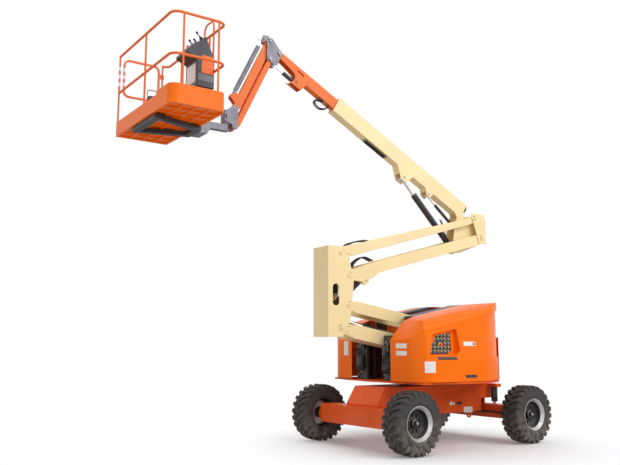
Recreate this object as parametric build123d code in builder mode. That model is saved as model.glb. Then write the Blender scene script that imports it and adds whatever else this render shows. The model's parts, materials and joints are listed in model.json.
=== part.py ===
from build123d import *
from math import atan2, cos, degrees, hypot, radians, sin
import os

os.makedirs("parts", exist_ok=True)

# An articulating boom lift with a telescopic upper boom and a jib, parked with its boom raised.
# Millimetres and degrees. +X is the way the boom points, +Y the machine's left, +Z up.

# Stance: wheels, axles and chassis
wheel_base = 2330
track = 2032
tyre_radius = 420
tyre_width = 305
lug_height = 25
lug_count = 18
rim_radius = 210
wheel_height = tyre_radius
spindle_radius = 40
hub_radius = 104
running_clearance = 0.3
seat_clearance = 0.3
frame_half_width = 330
frame_plate = 12
frame_top = 840
frame_bottom = 430
beam_front = 145
beam_bottom = 310
beam_top = 570
ring_radius = 330
ring_top = 900
kingpin_spread = 760
kingpin_radius = 25
beam_end = 655
trunnion_height = 485
trunnion_radius = 35
steering_arm = 150

# Turntable, its hoods and the frame that carries the tower
deck_thickness = 25
rear_wall_top = 1500
tail_radius = 1165
hood_front = 930
hood_side = 1130
hood_inner = 490
hood_bottom = 932
hood_wall = 4
hood_crease = 1240
hood_ridge = [(-700, 2050), (-390, 2030), (500, 1840), (690, 1770)]
hood_hinges = (-250, 250)
hinge_drop = 12
hinge_radius = 10
hinge_pin = 5
grille_inner = 235
grille_outer = 465
louvre_pitch = 52
louvre_count = 14
lip_height = 45
lip_step = 8
panel_set = 28
panel_front = 700
shoulder_side = 1070
shoulder_drop = 143
window_floor = 1006
window = [(680, 1303), (545, 1558), (287, 1605), (268, 1354), (343, 1303)]
window_rim = [(722, 1290), (655, 1580), (215, 1660), (165, 1354), (250, 1285)]

# Rest pose of the boom, as the machine stands parked
swing_at_rest = -5.4
tower_angle = 10.5
mid_angle = 15.5
boom_angle = 29.8
jib_angle = -64.4
basket_yaw = 3.8

# Tower: lower arm and link, upright, mid arms and the knuckle that carries the boom
lower_arm_length = 2150
mid_arm_length = 2673
lower_pivot = (-560, 1270)
pin_setback = 129
link_rise = 328
arm_rise = 1071
mid_drop = 319
tower_half_width = 200
tower_plate = 10
arm_half_width = 185
beam_width = 45
pin_radius = 32
lower_arm_depth = 200
lower_link_depth = 165
mid_upper_front_depth = 155
mid_upper_rear_depth = 104
mid_lower_depth = 165
upright_front = 221
upright_head = 88
upright_foot = 119

# Boom, measured from its own pivot on the knuckle
boom_pivot_offset = (224, -26)
boom_length = 2800
boom_width = 150
boom_depth = 235
boom_lift = 178
boom_wall = 6
pad_length = 120
fly_width = 112
fly_depth = 160
fly_nose = 3939
fly_tail = 250
nose_rise = 210
lift_lug = (1228, -47)
lift_base = (334, -496)
level_lug = (710, 7)
level_base = (279, -146)
inner_plate_offset = 85

# Jib and platform, measured from the boom's nose
jib_length = 1210
jib_pin = (146, 150)
jib_spacing = 257
jib_above = 36
jib_below = 72
jib_link_above = 15
jib_link_below = 62
jib_width = 84
jib_eye = 45
link_eye = 36
link_gap = 5
link_thickness = 10
jib_plate = 10
jib_pin_radius = 22
nose_pin_radius = 20
level_pin = (56, -168)
rotator_offset = 122
rotator_radius = 54
rotator_low = 4392
rotator_high = 4590
basket_reach = 821
basket_length = 1830
basket_depth = 748
basket_floor = 4246
basket_height = 1163
toe_height = 200
rail_radius = 17
rail_corner = 110
rail_return = 60
post_radius = 13
toe_wall = 4
floor_thickness = 35
entry_corner = 12
mid_rail = 620
gate_post = -270
gate_low = 580
gate_high = 1130
jib_ram_offset = 100
jib_ram_radius = 32
jib_rod_radius = 16
jib_ram_reach = 150
slave_reach = 360
slave_barrel_length = 180
tower_eye_offset = (-150, 120)
tower_ram_share = 0.83
timing_lug = (-297, -62)
timing_foot = (200, -60)
timing_pin_radius = 18
timing_plate = 36
slave_pin = 14
slave_boss = 18
slave_rod_radius = 12
slave_tail = 96
slave_bottom = 25
arm_low = 4300
arm_high = 4385
mount_half = 130
toe_high = 245
toe_step = 480
rib_depth = 20
guard_left = 544
guard_right = 282
guard_rise = 185
guard_radius = 12
console_left = 620
console_right = 280
tie_lug_bore = 25
tie_lug_plate = 20
tie_lug_drop = 45
tie_lug_radius = 48

# The machine's outline is centred over the origin, so the slewing axis stands off it.
slew_x = -1462
slew_y = 58


def plane_about(origin, yaw):
    """Level plane at the origin, its x turned to the yaw."""
    return Plane(origin=origin, x_dir=(cos(radians(yaw)), sin(radians(yaw)), 0), z_dir=(0, 0, 1))


chassis = plane_about((slew_x, slew_y, 0), 0)
turret = plane_about((slew_x, slew_y, 0), swing_at_rest)


def at(base, along, across, up):
    """Place in space of a point measured forward, to the left and up from a base plane."""
    return base.from_local_coords((along, across, up))


def side(base, across, along=0, up=0, pitch=0):
    """Sketch plane on the left side: x forward and raised by the pitch, y up, facing right."""
    forward = base.x_dir * cos(radians(pitch)) + base.z_dir * sin(radians(pitch))
    return Plane(origin=at(base, along, across, up), x_dir=forward, z_dir=-base.y_dir)


def face_on(base, along, up=0, pitch=0, across=0):
    """Sketch plane across the machine: x to the left, y up, facing forward along the pitch."""
    forward = base.x_dir * cos(radians(pitch)) + base.z_dir * sin(radians(pitch))
    return Plane(origin=at(base, along, across, up), x_dir=base.y_dir, z_dir=forward)


def level(base, up, along=0, across=0):
    """Sketch plane looking down: x forward, y to the left."""
    return Plane(origin=at(base, along, across, up), x_dir=base.x_dir, z_dir=(0, 0, 1))


def turned(point, angle):
    """A point of the side view turned up about the origin."""
    c, s = cos(radians(angle)), sin(radians(angle))
    return (point[0] * c - point[1] * s, point[0] * s + point[1] * c)


def shifted(point, step):
    """Sum of two points of the side view."""
    return (point[0] + step[0], point[1] + step[1])


def span(start, end):
    """Length and pitch of the line between two points of the side view."""
    along, up = end[0] - start[0], end[1] - start[1]
    return hypot(along, up), degrees(atan2(up, along))


# Pins of the tower in the side view, worked out from the rest pose
arm_foot = lower_pivot
link_foot = shifted(arm_foot, (-pin_setback, link_rise))
upright_low = shifted(arm_foot, turned((lower_arm_length, 0), tower_angle))
upright_link = shifted(upright_low, (-pin_setback, link_rise))
upright_top = shifted(upright_low, (0, arm_rise))
upright_mid = shifted(upright_top, (-pin_setback, -mid_drop))
knuckle_top = shifted(upright_top, turned((-mid_arm_length, 0), -mid_angle))
knuckle_low = shifted(knuckle_top, (-pin_setback, -mid_drop))
boom_pivot = shifted(knuckle_top, boom_pivot_offset)
lift_foot = shifted(knuckle_top, lift_base)
level_foot = shifted(knuckle_top, level_base)
lift_eye = shifted(boom_pivot, turned(lift_lug, boom_angle))
level_eye = shifted(boom_pivot, turned(level_lug, boom_angle))
nose = shifted(boom_pivot, turned((fly_nose, nose_rise), boom_angle))
jib_top = shifted(nose, jib_pin)
jib_low = shifted(jib_top, (0, -jib_spacing))
foot_top = shifted(jib_top, turned((jib_length, 0), jib_angle))
foot_low = shifted(foot_top, (0, -jib_spacing))
rotator = foot_top[0] + rotator_offset
tower_eye = shifted(upright_low, tower_eye_offset)
timing_top = shifted(upright_mid, timing_lug)
timing_low = shifted(upright_link, timing_foot)
link_across = jib_width / 2 + link_gap + link_thickness / 2
plate_across = link_across + link_thickness / 2 + link_gap + jib_plate / 2
stub_across = jib_width / 2 + seat_clearance
slave_eye = shifted(nose, level_pin)
slave_foot = shifted(slave_eye, turned((-slave_reach, 0), boom_angle))
slave_hinge = shifted(slave_foot, turned((-45, 0), boom_angle))
slave_eye_half = jib_width / 2 - 6

ridge_tilt = span(hood_ridge[1], hood_ridge[2])[1]
ridge_middle = ((hood_ridge[1][0] + hood_ridge[2][0]) / 2, (hood_ridge[1][1] + hood_ridge[2][1]) / 2)

basket_plane = plane_about(at(turret, rotator, 0, 0), swing_at_rest + basket_yaw)


def export(part, name):
    """Label a finished piece and write it under its own name."""
    part.label = name
    export_step(part, "parts/" + name + ".step")


# Chassis: a welded box with a sloping nose, notched over the drive axle and raised over the steer axle
drive_x = wheel_base / 2
steer_x = -wheel_base / 2
hanger_x = steer_x + 205
tail_x = steer_x - 125
with BuildPart() as chassis_frame:
    with BuildSketch(side(chassis, 0)) as frame_side:
        with BuildLine():
            Polyline(
                (tail_x, frame_top), (drive_x - 145, frame_top), (drive_x + 15, beam_top + 30),
                (drive_x + 15, beam_top), (drive_x - beam_front, beam_top),
                (drive_x - beam_front, frame_bottom), (hanger_x, frame_bottom),
                (hanger_x, 620), (tail_x, 620), close=True)
        make_face()
    extrude(amount=frame_half_width, both=True)
    with BuildSketch(side(chassis, 0)):
        with BuildLine():
            Polyline(
                (tail_x + frame_plate, frame_top - frame_plate), (drive_x - 155, frame_top - frame_plate),
                (drive_x - 5, beam_top + 35), (drive_x - 5, beam_top + frame_plate),
                (drive_x - beam_front - frame_plate, beam_top + frame_plate),
                (drive_x - beam_front - frame_plate, frame_bottom - 1),
                (hanger_x + frame_plate, frame_bottom - 1),
                (hanger_x + frame_plate, 620 + frame_plate), (tail_x + frame_plate, 620 + frame_plate),
                close=True)
        make_face()
    extrude(amount=frame_half_width - frame_plate, both=True, mode=Mode.SUBTRACT)
    with BuildSketch(face_on(chassis, tail_x, 500)):
        Rectangle(240, 240)
    extrude(amount=20)
    with BuildSketch(face_on(chassis, tail_x, trunnion_height)):
        Circle(trunnion_radius + running_clearance)
    extrude(amount=hanger_x + 30 - tail_x, mode=Mode.SUBTRACT)
    for across in (-1, 1):
        with BuildSketch(face_on(chassis, steer_x - 60, frame_top - 25, 0, across * (frame_half_width + 90))):
            Rectangle(180, 50)
        extrude(amount=120)
export(chassis_frame.part, "chassis_frame")

# Tie-down lugs: four plates bolted inside the frame's walls, their eyes below it
with BuildPart() as tie_downs:
    for across in (-1, 1):
        for along in (drive_x - 480, steer_x + 465):
            wall_inside = across * (frame_half_width - frame_plate - seat_clearance)
            with BuildSketch(side(chassis, wall_inside, along, frame_bottom - tie_lug_drop)):
                with BuildLine():
                    Polyline((-90, tie_lug_drop + 80), (90, tie_lug_drop + 80), (tie_lug_radius, 0),
                             (-tie_lug_radius, 0),
                             close=True)
                make_face()
                Circle(tie_lug_radius)
                Circle(tie_lug_bore, mode=Mode.SUBTRACT)
            extrude(amount=across * tie_lug_plate)
export(tie_downs.part, "tie_downs")

# Drive axle: a box beam under the nose, with gearbox drums and spindles
drum_end = track / 2 - tyre_width / 2 - 8
with BuildPart() as drive_axle:
    with BuildSketch(side(chassis, 0, drive_x, (beam_bottom + beam_top) / 2)):
        Rectangle(2 * beam_front, beam_top - beam_bottom)
    extrude(amount=780, both=True)
    with BuildSketch(side(chassis, 0, drive_x, wheel_height)):
        Circle(125)
    extrude(amount=drum_end, both=True)
    with BuildSketch(side(chassis, 0, drive_x, wheel_height)):
        Circle(spindle_radius)
    extrude(amount=track / 2 - 56, both=True)
export(drive_axle.part, "drive_axle")

# Steer axle: a box beam that hangs on a trunnion, with a yoke and kingpin at each end
with BuildPart() as steer_axle:
    with BuildSketch(side(chassis, 0, steer_x, 430)):
        Rectangle(190, 200)
    extrude(amount=beam_end, both=True)
    with BuildSketch(face_on(chassis, tail_x - 5, trunnion_height)):
        Circle(trunnion_radius)
    extrude(amount=hanger_x + 20 - tail_x)
    for across in (-1, 1):
        for height in (325, 515):
            with BuildSketch(level(chassis, height, steer_x, across * (beam_end + 70))):
                Rectangle(130, 190)
            extrude(amount=15, both=True)
        with BuildSketch(level(chassis, 310, steer_x, across * kingpin_spread)):
            Circle(kingpin_radius)
        extrude(amount=220)
export(steer_axle.part, "steer_axle")

with BuildPart() as lockout_cylinders:
    for across in (-1, 1):
        with BuildSketch(level(chassis, 530 + seat_clearance, steer_x, across * 420)):
            Circle(24)
        extrude(amount=40)
        with BuildSketch(level(chassis, 570, steer_x, across * 420)):
            Circle(48)
        extrude(amount=frame_top - 50 - 570 - seat_clearance)
export(lockout_cylinders.part, "lockout_cylinders")

with BuildPart() as slew_ring:
    with BuildSketch(level(chassis, frame_top)):
        Circle(ring_radius)
        Circle(ring_radius - 90, mode=Mode.SUBTRACT)
    extrude(amount=ring_top - frame_top - seat_clearance)
export(slew_ring.part, "slew_ring")

# Steering knuckles, each a block on its kingpin with a spindle outward and an arm for the tie rod
for name, across in (("steer_knuckle_left", 1), ("steer_knuckle_right", -1)):
    with BuildPart() as knuckle:
        with BuildSketch(level(chassis, 420, steer_x, across * kingpin_spread)):
            Rectangle(90, 100)
        extrude(amount=74, both=True)
        with BuildSketch(side(chassis, across * (kingpin_spread + 40), steer_x, wheel_height)):
            Circle(spindle_radius)
        extrude(amount=-across * (track / 2 - 56 - kingpin_spread - 40))
        with BuildSketch(level(chassis, 450, steer_x, across * kingpin_spread)):
            with Locations((steering_arm / 2 + 10, 0)):
                Rectangle(steering_arm + 20, 60)
        extrude(amount=20)
        with BuildSketch(level(chassis, 395, steer_x + steering_arm, across * kingpin_spread)):
            Circle(12)
        extrude(amount=60)
        with BuildSketch(level(chassis, 300, steer_x, across * kingpin_spread)):
            Circle(kingpin_radius + running_clearance)
        extrude(amount=300, mode=Mode.SUBTRACT)
    export(knuckle.part, name)

with BuildPart() as tie_rod:
    with BuildSketch(side(chassis, 0, steer_x + steering_arm, wheel_height)):
        Circle(16)
    extrude(amount=kingpin_spread, both=True)
    for across in (-1, 1):
        with BuildSketch(level(chassis, 398, steer_x + steering_arm, across * kingpin_spread)):
            Circle(26)
        extrude(amount=44)
    for across in (-1, 1):
        with BuildSketch(level(chassis, 390, steer_x + steering_arm, across * kingpin_spread)):
            Circle(12 + running_clearance)
        extrude(amount=60, mode=Mode.SUBTRACT)
export(tie_rod.part, "tie_rod")

# Wheels: name, place along the machine and side
wheels = [
    ("drive_left", drive_x, 1), ("drive_right", drive_x, -1),
    ("steer_left", steer_x, 1), ("steer_right", steer_x, -1),
]
bead = rim_radius - 0.5
tread_radius = tyre_radius - lug_height
rim_outline = [
    (spindle_radius + running_clearance, -150), (hub_radius, -150), (hub_radius, 14), (198, 14), (198, -148),
    (226, -148), (226, -138), (bead, -132), (bead, 132), (226, 138), (226, 148), (198, 148), (198, 26),
    (hub_radius, 26), (hub_radius - 8, 94), (0, 94), (0, -50), (spindle_radius + running_clearance, -50),
]
shoulder, dish = (40, 24), (92, 21)  # inward on the flank, back from it
facets = 2 * lug_count
lug_sketch = [(-26, -4), (6, -4), (26, 132), (-6, 132)]
for name, along, across in wheels:
    hub = at(chassis, along, across * track / 2, wheel_height)
    section = Plane(origin=hub, x_dir=chassis.x_dir, z_dir=(0, 0, 1))
    wheel_plane = side(chassis, across * track / 2, along, wheel_height)
    axle_line = Axis(hub, chassis.y_dir)
    with BuildPart() as rim:
        with BuildSketch(section):
            with BuildLine():
                Polyline(*[(r, across * a) for r, a in rim_outline], close=True)
            make_face()
        revolve(axis=axle_line)
    export(rim.part, "rim_" + name)
    lug_planes = []
    for k in range(facets):
        turn, half = 360 * k / facets, (-1) ** k
        outward = chassis.x_dir * cos(radians(turn)) + chassis.z_dir * sin(radians(turn))
        lug_planes.append(Plane(origin=hub + outward * (tread_radius - 12), x_dir=chassis.y_dir * half,
                                z_dir=outward))
    with BuildPart() as tyre:
        with BuildSketch(wheel_plane):
            RegularPolygon(tread_radius, facets, major_radius=False)
            RegularPolygon(rim_radius, facets, major_radius=False, mode=Mode.SUBTRACT)
        extrude(amount=tyre_width / 2, both=True)
        for end in (0, -1):
            flank = tyre.faces().sort_by(Axis.Y)[end]
            chamfer(flank.outer_wire().edges(), length=shoulder[0], length2=shoulder[1], reference=flank)
            flank = tyre.faces().sort_by(Axis.Y)[end]
            chamfer(flank.inner_wires()[0].edges(), length=dish[0], length2=dish[1], reference=flank)
        with BuildSketch(*lug_planes):
            with BuildLine():
                Polyline(*[(a, t) for t, a in lug_sketch], close=True)
            make_face()
        extrude(amount=lug_height + 12)
    export(tyre.part, "tyre_" + name)

# Turntable: a deck plate, the two tower plates that carry the lower arm and link, and a rear box
deck_top = ring_top + deck_thickness
tower_inner = tower_half_width + 2
with BuildPart() as turntable_frame:
    with BuildSketch(level(turret, ring_top)):
        Circle(tail_radius - 15)
        with Locations((420, 0)):
            Rectangle(860, 2 * (hood_side - 40))
        with Locations((hood_front - 20 + 600, 0)):
            Rectangle(1200, 3000, mode=Mode.SUBTRACT)
    extrude(amount=deck_thickness)
    for across in (-1, 1):
        with BuildSketch(side(turret, across * (tower_inner + 9))):
            with BuildLine():
                Polyline((-860, deck_top), (-860, 1640), (-760, 1720), (-600, 1720), (-420, 1420),
                         (300, 1180),
                         (420, deck_top), close=True)
            make_face()
        extrude(amount=9, both=True)
    with BuildSketch(side(turret, 0, *arm_foot)):
        Circle(pin_radius)
    extrude(amount=tower_inner + 18, both=True)
    for across in (-1, 1):
        with BuildSketch(side(turret, across * 150, *link_foot)):
            Circle(pin_radius)
        extrude(amount=-across * (tower_inner + 18 - 150))
    with BuildSketch(face_on(turret, -852, (deck_top + rear_wall_top) / 2)):
        Rectangle(2 * tower_inner, rear_wall_top - deck_top)
    extrude(amount=12)
export(turntable_frame.part, "turntable_frame")

# Counterweight: the rear of the turntable, rounded to the tail radius
with BuildPart() as counterweight:
    with BuildSketch(level(turret, deck_top + seat_clearance)):
        Circle(tail_radius - 4)
        with Locations((1300 - 880, 0)):
            Rectangle(2600, 2600, mode=Mode.SUBTRACT)
    extrude(amount=620)
export(counterweight.part, "counterweight")

with BuildPart() as engine:
    with BuildSketch(level(turret, deck_top + seat_clearance, 0, -600)):
        Rectangle(760, 420)
    extrude(amount=620)
export(engine.part, "engine")

with BuildPart() as front_panel:
    for across in (-1, 1):
        with BuildSketch(level(turret, deck_top + seat_clearance, 820, across * 340)):
            Rectangle(40, 250)
        extrude(amount=640)
export(front_panel.part, "front_panel")

with BuildPart() as ground_controls:
    with BuildSketch(side(turret, window_floor - 8, 474, 1452)):
        Rectangle(420, 320)
    extrude(amount=90)
    with BuildSketch(level(turret, deck_top + seat_clearance, 474, window_floor - 60)):
        Rectangle(60, 60)
    extrude(amount=1400 - deck_top)
export(ground_controls.part, "ground_controls")

# Top covers with louvres, between the tower and each hood, with the pins of the hood's hinges
for name, across in (("top_grille_left", 1), ("top_grille_right", -1)):
    with BuildPart() as grille:
        with BuildSketch(side(turret, across * grille_inner)):
            with BuildLine():
                Polyline((480, deck_top), (480, 1845), (-400, 2032), (-400, 1992), (450, 1811),
                         (450, deck_top),
                         close=True)
            make_face()
        extrude(amount=-across * (grille_outer - grille_inner))
        first = -louvre_pitch * (louvre_count - 1) / 2
        with BuildSketch(side(turret, across * (grille_inner + 25))):
            with Locations(*[shifted(ridge_middle, turned((first + k * louvre_pitch, -20), ridge_tilt))
                             for k in range(louvre_count)]):
                Rectangle(22, 120, rotation=ridge_tilt + 30)
        extrude(amount=-across * (grille_outer - grille_inner - 50), mode=Mode.SUBTRACT)
        for along in hood_hinges:
            for end in (-1, 1):
                with BuildSketch(face_on(turret, *shifted(ridge_middle,
                                                          turned((along + end * 32, -hinge_drop),
                                                                 ridge_tilt)),
                                         ridge_tilt, across * hood_inner)):
                    Circle(hinge_radius - 2)
                    with Locations((-across * 20, -8)):
                        Rectangle(40, 16)
                extrude(amount=1, both=True)
            with BuildSketch(face_on(turret, *shifted(ridge_middle,
                                                      turned((along - 32, -hinge_drop), ridge_tilt)),
                                     ridge_tilt, across * hood_inner)):
                Circle(hinge_pin)
            extrude(amount=64)
    export(grille.part, name)

with BuildPart() as beacon:
    with BuildSketch(level(turret, deck_top + 620 + 2 * seat_clearance, -940, 480)):
        Circle(30)
    extrude(amount=460)
    with BuildSketch(level(turret, deck_top + 1080, -940, 480)):
        Circle(48)
    extrude(amount=60)
export(beacon.part, "beacon")

def hood_plan(across, inner, inset):
    """Lines of a hood's plan outline, set in all round from the outer skin."""
    front, outer, rear = hood_front - inset, hood_side - inset, -850 + inset
    corner = 0.7 * inset
    l1 = Line((front, across * inner), (front, across * 760))
    l2 = Line((620, across * outer), (-200, across * outer))
    ThreePointArc(l1 @ 1, (846 - corner, across * (1010 - corner)), l2 @ 0)
    l3 = ThreePointArc(l2 @ 1, (-560 + corner, across * (1010 - corner)), (rear, across * 770))
    Polyline(l3 @ 1, (rear, across * inner), l1 @ 0)


# Hoods: the meeting of a plan outline, a side outline and a cross section, with the shoulder along the ridge's
# tilt and the side panel set in below it, hollow to the wall's thickness
shoulder_start = shifted(ridge_middle, turned((-1030, 0), ridge_tilt))
shoulder_front = shifted(ridge_middle, turned((panel_front - ridge_middle[0], -shoulder_drop - 14),
                                              ridge_tilt))
shoulder_rear = shifted(ridge_middle, turned((-1030, -shoulder_drop - 14), ridge_tilt))
for name, across in (("hood_left", 1), ("hood_right", -1)):
    with BuildPart() as hood:
        for wall, inner, mode in ((0, hood_inner, Mode.ADD), (hood_wall, hood_inner - 20, Mode.SUBTRACT)):
            with BuildPart(mode=Mode.PRIVATE) as recess:
                with BuildSketch(side(turret, 0)):
                    with BuildLine():
                        Polyline((panel_front + wall, hood_crease + 22 - wall),
                                 shifted(shoulder_front, (wall, wall)),
                                 shifted(shoulder_rear, (0, wall)),
                                 (shoulder_rear[0], hood_crease + 22 - wall), close=True)
                    make_face()
                extrude(amount=-across * 1300)
                with BuildSketch(level(turret, hood_bottom)):
                    with BuildLine():
                        hood_plan(across, 0, wall + panel_set)
                    make_face()
                extrude(amount=1300, mode=Mode.SUBTRACT)
            with BuildPart(mode=Mode.PRIVATE) as block:
                with BuildSketch(level(turret, hood_bottom - 2 * wall)):
                    with BuildLine():
                        hood_plan(across, inner, wall)
                    make_face()
                extrude(amount=1300)
                with BuildSketch(side(turret, 0)):
                    with BuildLine():
                        Polyline((-900, hood_bottom - 2 * wall), (-900, hood_ridge[0][1] - wall),
                                 *[(along, up - wall) for along, up in hood_ridge],
                                 (hood_front + 20, 1480 - wall),
                                 (hood_front + 20, hood_bottom - 2 * wall), close=True)
                    make_face()
                extrude(amount=1300, both=True, mode=Mode.INTERSECT)
                skin = hood_side - wall
                with BuildSketch(face_on(turret, -950)):
                    with BuildLine():
                        Polyline((across * 400, hood_bottom - 2 * wall),
                                 (across * skin, hood_bottom - 2 * wall),
                                 (across * skin, hood_bottom + lip_height),
                                 (across * (skin - lip_step), hood_bottom + lip_height + lip_step),
                                 (across * (skin - lip_step), hood_crease),
                                 (across * (skin - 25), hood_crease + 20),
                                 (across * (skin - 60), 1640), (across * (skin - 60), 2200),
                                 (across * 400, 2200),
                                 close=True)
                    make_face()
                extrude(amount=2000, mode=Mode.INTERSECT)
                with BuildSketch(face_on(turret, *shoulder_start, ridge_tilt)):
                    with BuildLine():
                        Polyline((across * 400, -1500), (across * (hood_side + 20), -1500),
                                 (across * (hood_side + 20), -shoulder_drop - 10 - wall),
                                 (across * (shoulder_side - wall), -shoulder_drop - wall),
                                 (across * (shoulder_side - 30 - wall), 48 - shoulder_drop - wall),
                                 (across * (shoulder_side - 110 - wall), 98 - shoulder_drop - wall),
                                 (across * (shoulder_side - 270 - wall), -10 - wall),
                                 (across * 400, 10 - wall), close=True)
                    make_face()
                extrude(amount=2100, mode=Mode.INTERSECT)
                add(recess.part, mode=Mode.SUBTRACT)
            add(block.part, mode=mode)
            if wall == 0:
                skin_block = block.part
        if across > 0:
            with BuildPart(mode=Mode.PRIVATE) as tray:
                with BuildSketch(side(turret, window_floor)):
                    with BuildLine():
                        Polyline(*window_rim, close=True)
                    make_face()
                extrude(amount=-200)
                add(skin_block, mode=Mode.INTERSECT)
            add(tray.part)
            with BuildSketch(side(turret, window_floor + 6)) as tray_inside:
                with BuildLine():
                    Polyline(*window_rim, close=True)
                make_face()
                offset(amount=-6)
            extrude(amount=-200, mode=Mode.SUBTRACT)
            with BuildSketch(side(turret, window_floor - 5)):
                with BuildLine():
                    Polyline(*window, close=True)
                make_face()
            extrude(amount=-200, mode=Mode.SUBTRACT)
        for along in hood_hinges:
            knuckle_end = shifted(ridge_middle, turned((along - 29, -hinge_drop), ridge_tilt))
            with BuildSketch(face_on(turret, *knuckle_end, ridge_tilt, across * hood_inner)):
                Circle(hinge_radius)
            extrude(amount=58)
            with BuildSketch(face_on(turret, *knuckle_end, ridge_tilt, across * hood_inner)):
                Circle(hinge_pin + running_clearance)
            extrude(amount=58, mode=Mode.SUBTRACT)
    export(hood.part, name)


def beams(plane_of, outline, holes, crosses, half_width, width):
    """Two mirrored beams of one side outline, bored for their pins and tied by cross plates."""
    with BuildPart() as arm:
        for across in (-1, 1):
            with BuildSketch(plane_of(across * (half_width - width / 2))):
                with BuildLine():
                    Polyline(*outline, close=True)
                make_face()
                for spot, eye, bore in holes:
                    with Locations(spot):
                        Circle(eye)
                for spot, eye, bore in holes:
                    with Locations(spot):
                        Circle(bore, mode=Mode.SUBTRACT)
            extrude(amount=width / 2, both=True)
        for along, up, length, depth in crosses:
            with BuildSketch(plane_of(0)):
                with Locations((along, up)):
                    Rectangle(length, depth)
            extrude(amount=half_width - width + 1, both=True)
    return arm.part


bore = pin_radius + running_clearance
half = lower_arm_depth / 2
lower_arm_part = beams(
    lambda across: side(turret, across, *arm_foot, tower_angle),
    [(0, -70), (300, -half), (lower_arm_length - 250, -half), (lower_arm_length, -60), (lower_arm_length, 60),
     (lower_arm_length - 250, half), (300, half), (0, 70)],
    [((0, 0), 70, bore), ((lower_arm_length, 0), 62, bore)],
    [(500, -half + 6, 200, 12), (1500, -half + 6, 700, 12)],
    arm_half_width, 25)
export(lower_arm_part, "lower_arm")

half = lower_link_depth / 2
lower_link_part = beams(
    lambda across: side(turret, across, *link_foot, tower_angle),
    [(0, -60), (200, -half), (lower_arm_length - 150, -half), (lower_arm_length, -55), (lower_arm_length, 55),
     (lower_arm_length - 150, half), (200, half), (0, 60)],
    [((0, 0), 60, bore), ((lower_arm_length, 0), 58, bore)],
    [(400, half - 6, 200, 12), (1450, half - 6, 500, 12)],
    arm_half_width, 25)
link_tip = turned((timing_low[0] - link_foot[0], timing_low[1] - link_foot[1]), -tower_angle)
with BuildPart() as lower_link:
    add(lower_link_part)
    for across in (-1, 1):
        with BuildSketch(side(turret, across * (arm_half_width - 12.5), *link_foot, tower_angle)):
            with BuildLine():
                Polyline((lower_arm_length - 120, 50), shifted(link_tip, (10, 35)),
                         shifted(link_tip, (10, -35)),
                         (lower_arm_length - 120, -60), close=True)
            make_face()
            with Locations((lower_arm_length, 0)):
                Circle(bore, mode=Mode.SUBTRACT)
        extrude(amount=12.5, both=True)
        with BuildSketch(side(turret, across * (timing_plate / 2 + seat_clearance), *timing_low)):
            Circle(timing_pin_radius)
        extrude(amount=-across * (arm_half_width - timing_plate / 2 - seat_clearance))
export(lower_link.part, "lower_link")

front, rear = mid_upper_front_depth / 2, mid_upper_rear_depth / 2
mid_upper_part = beams(
    lambda across: side(turret, across, *upright_top, -mid_angle),
    [(0, -62), (-200, -front - 10), (-450, -front - 5), (-mid_arm_length + 150, -rear - 20),
     (-mid_arm_length, -50), (-mid_arm_length, 50), (-mid_arm_length + 150, rear - 20), (-450, front - 10),
     (0, front)],
    [((0, 0), 66, bore), ((-mid_arm_length, 0), 55, bore)],
    [(-420, -45, 260, 40), (-800, -45, 120, 40)],
    arm_half_width, beam_width)
export(mid_upper_part, "mid_upper_arm")

half = mid_lower_depth / 2
mid_lower_part = beams(
    lambda across: side(turret, across, *upright_mid, -mid_angle),
    [(0, -58), (-180, -half - 50), (-420, -half - 50), (-520, -half), (-mid_arm_length + 60, -half),
     (-mid_arm_length, -55),
     (-mid_arm_length, 55), (-mid_arm_length + 60, half), (-350, half), (0, 58)],
    [((0, 0), 62, bore), ((-mid_arm_length, 0), 58, bore)],
    [(-900, half - 20, 500, 12)],
    arm_half_width, beam_width)
with BuildPart() as mid_lower_arm:
    add(mid_lower_part)
    with BuildSketch(side(turret, 0, *timing_top)):
        Circle(timing_pin_radius)
    extrude(amount=arm_half_width, both=True)
    for across in (-1, 1):
        with BuildSketch(side(turret, across * (arm_half_width - beam_width / 2), *timing_top)):
            Circle(60)
        extrude(amount=beam_width / 2, both=True)
export(mid_lower_arm.part, "mid_lower_arm")

# Timing link: ties the mid arm's rise to the lower link's, free at its lower end
timing_reach, timing_pitch = span(timing_top, timing_low)
with BuildPart() as timing_link:
    with BuildSketch(side(turret, 0, *timing_top, timing_pitch)):
        with Locations((timing_reach / 2, 0)):
            SlotCenterToCenter(timing_reach, 90)
        Circle(timing_pin_radius + running_clearance, mode=Mode.SUBTRACT)
    extrude(amount=timing_plate / 2, both=True)
export(timing_link.part, "timing_link")

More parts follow.
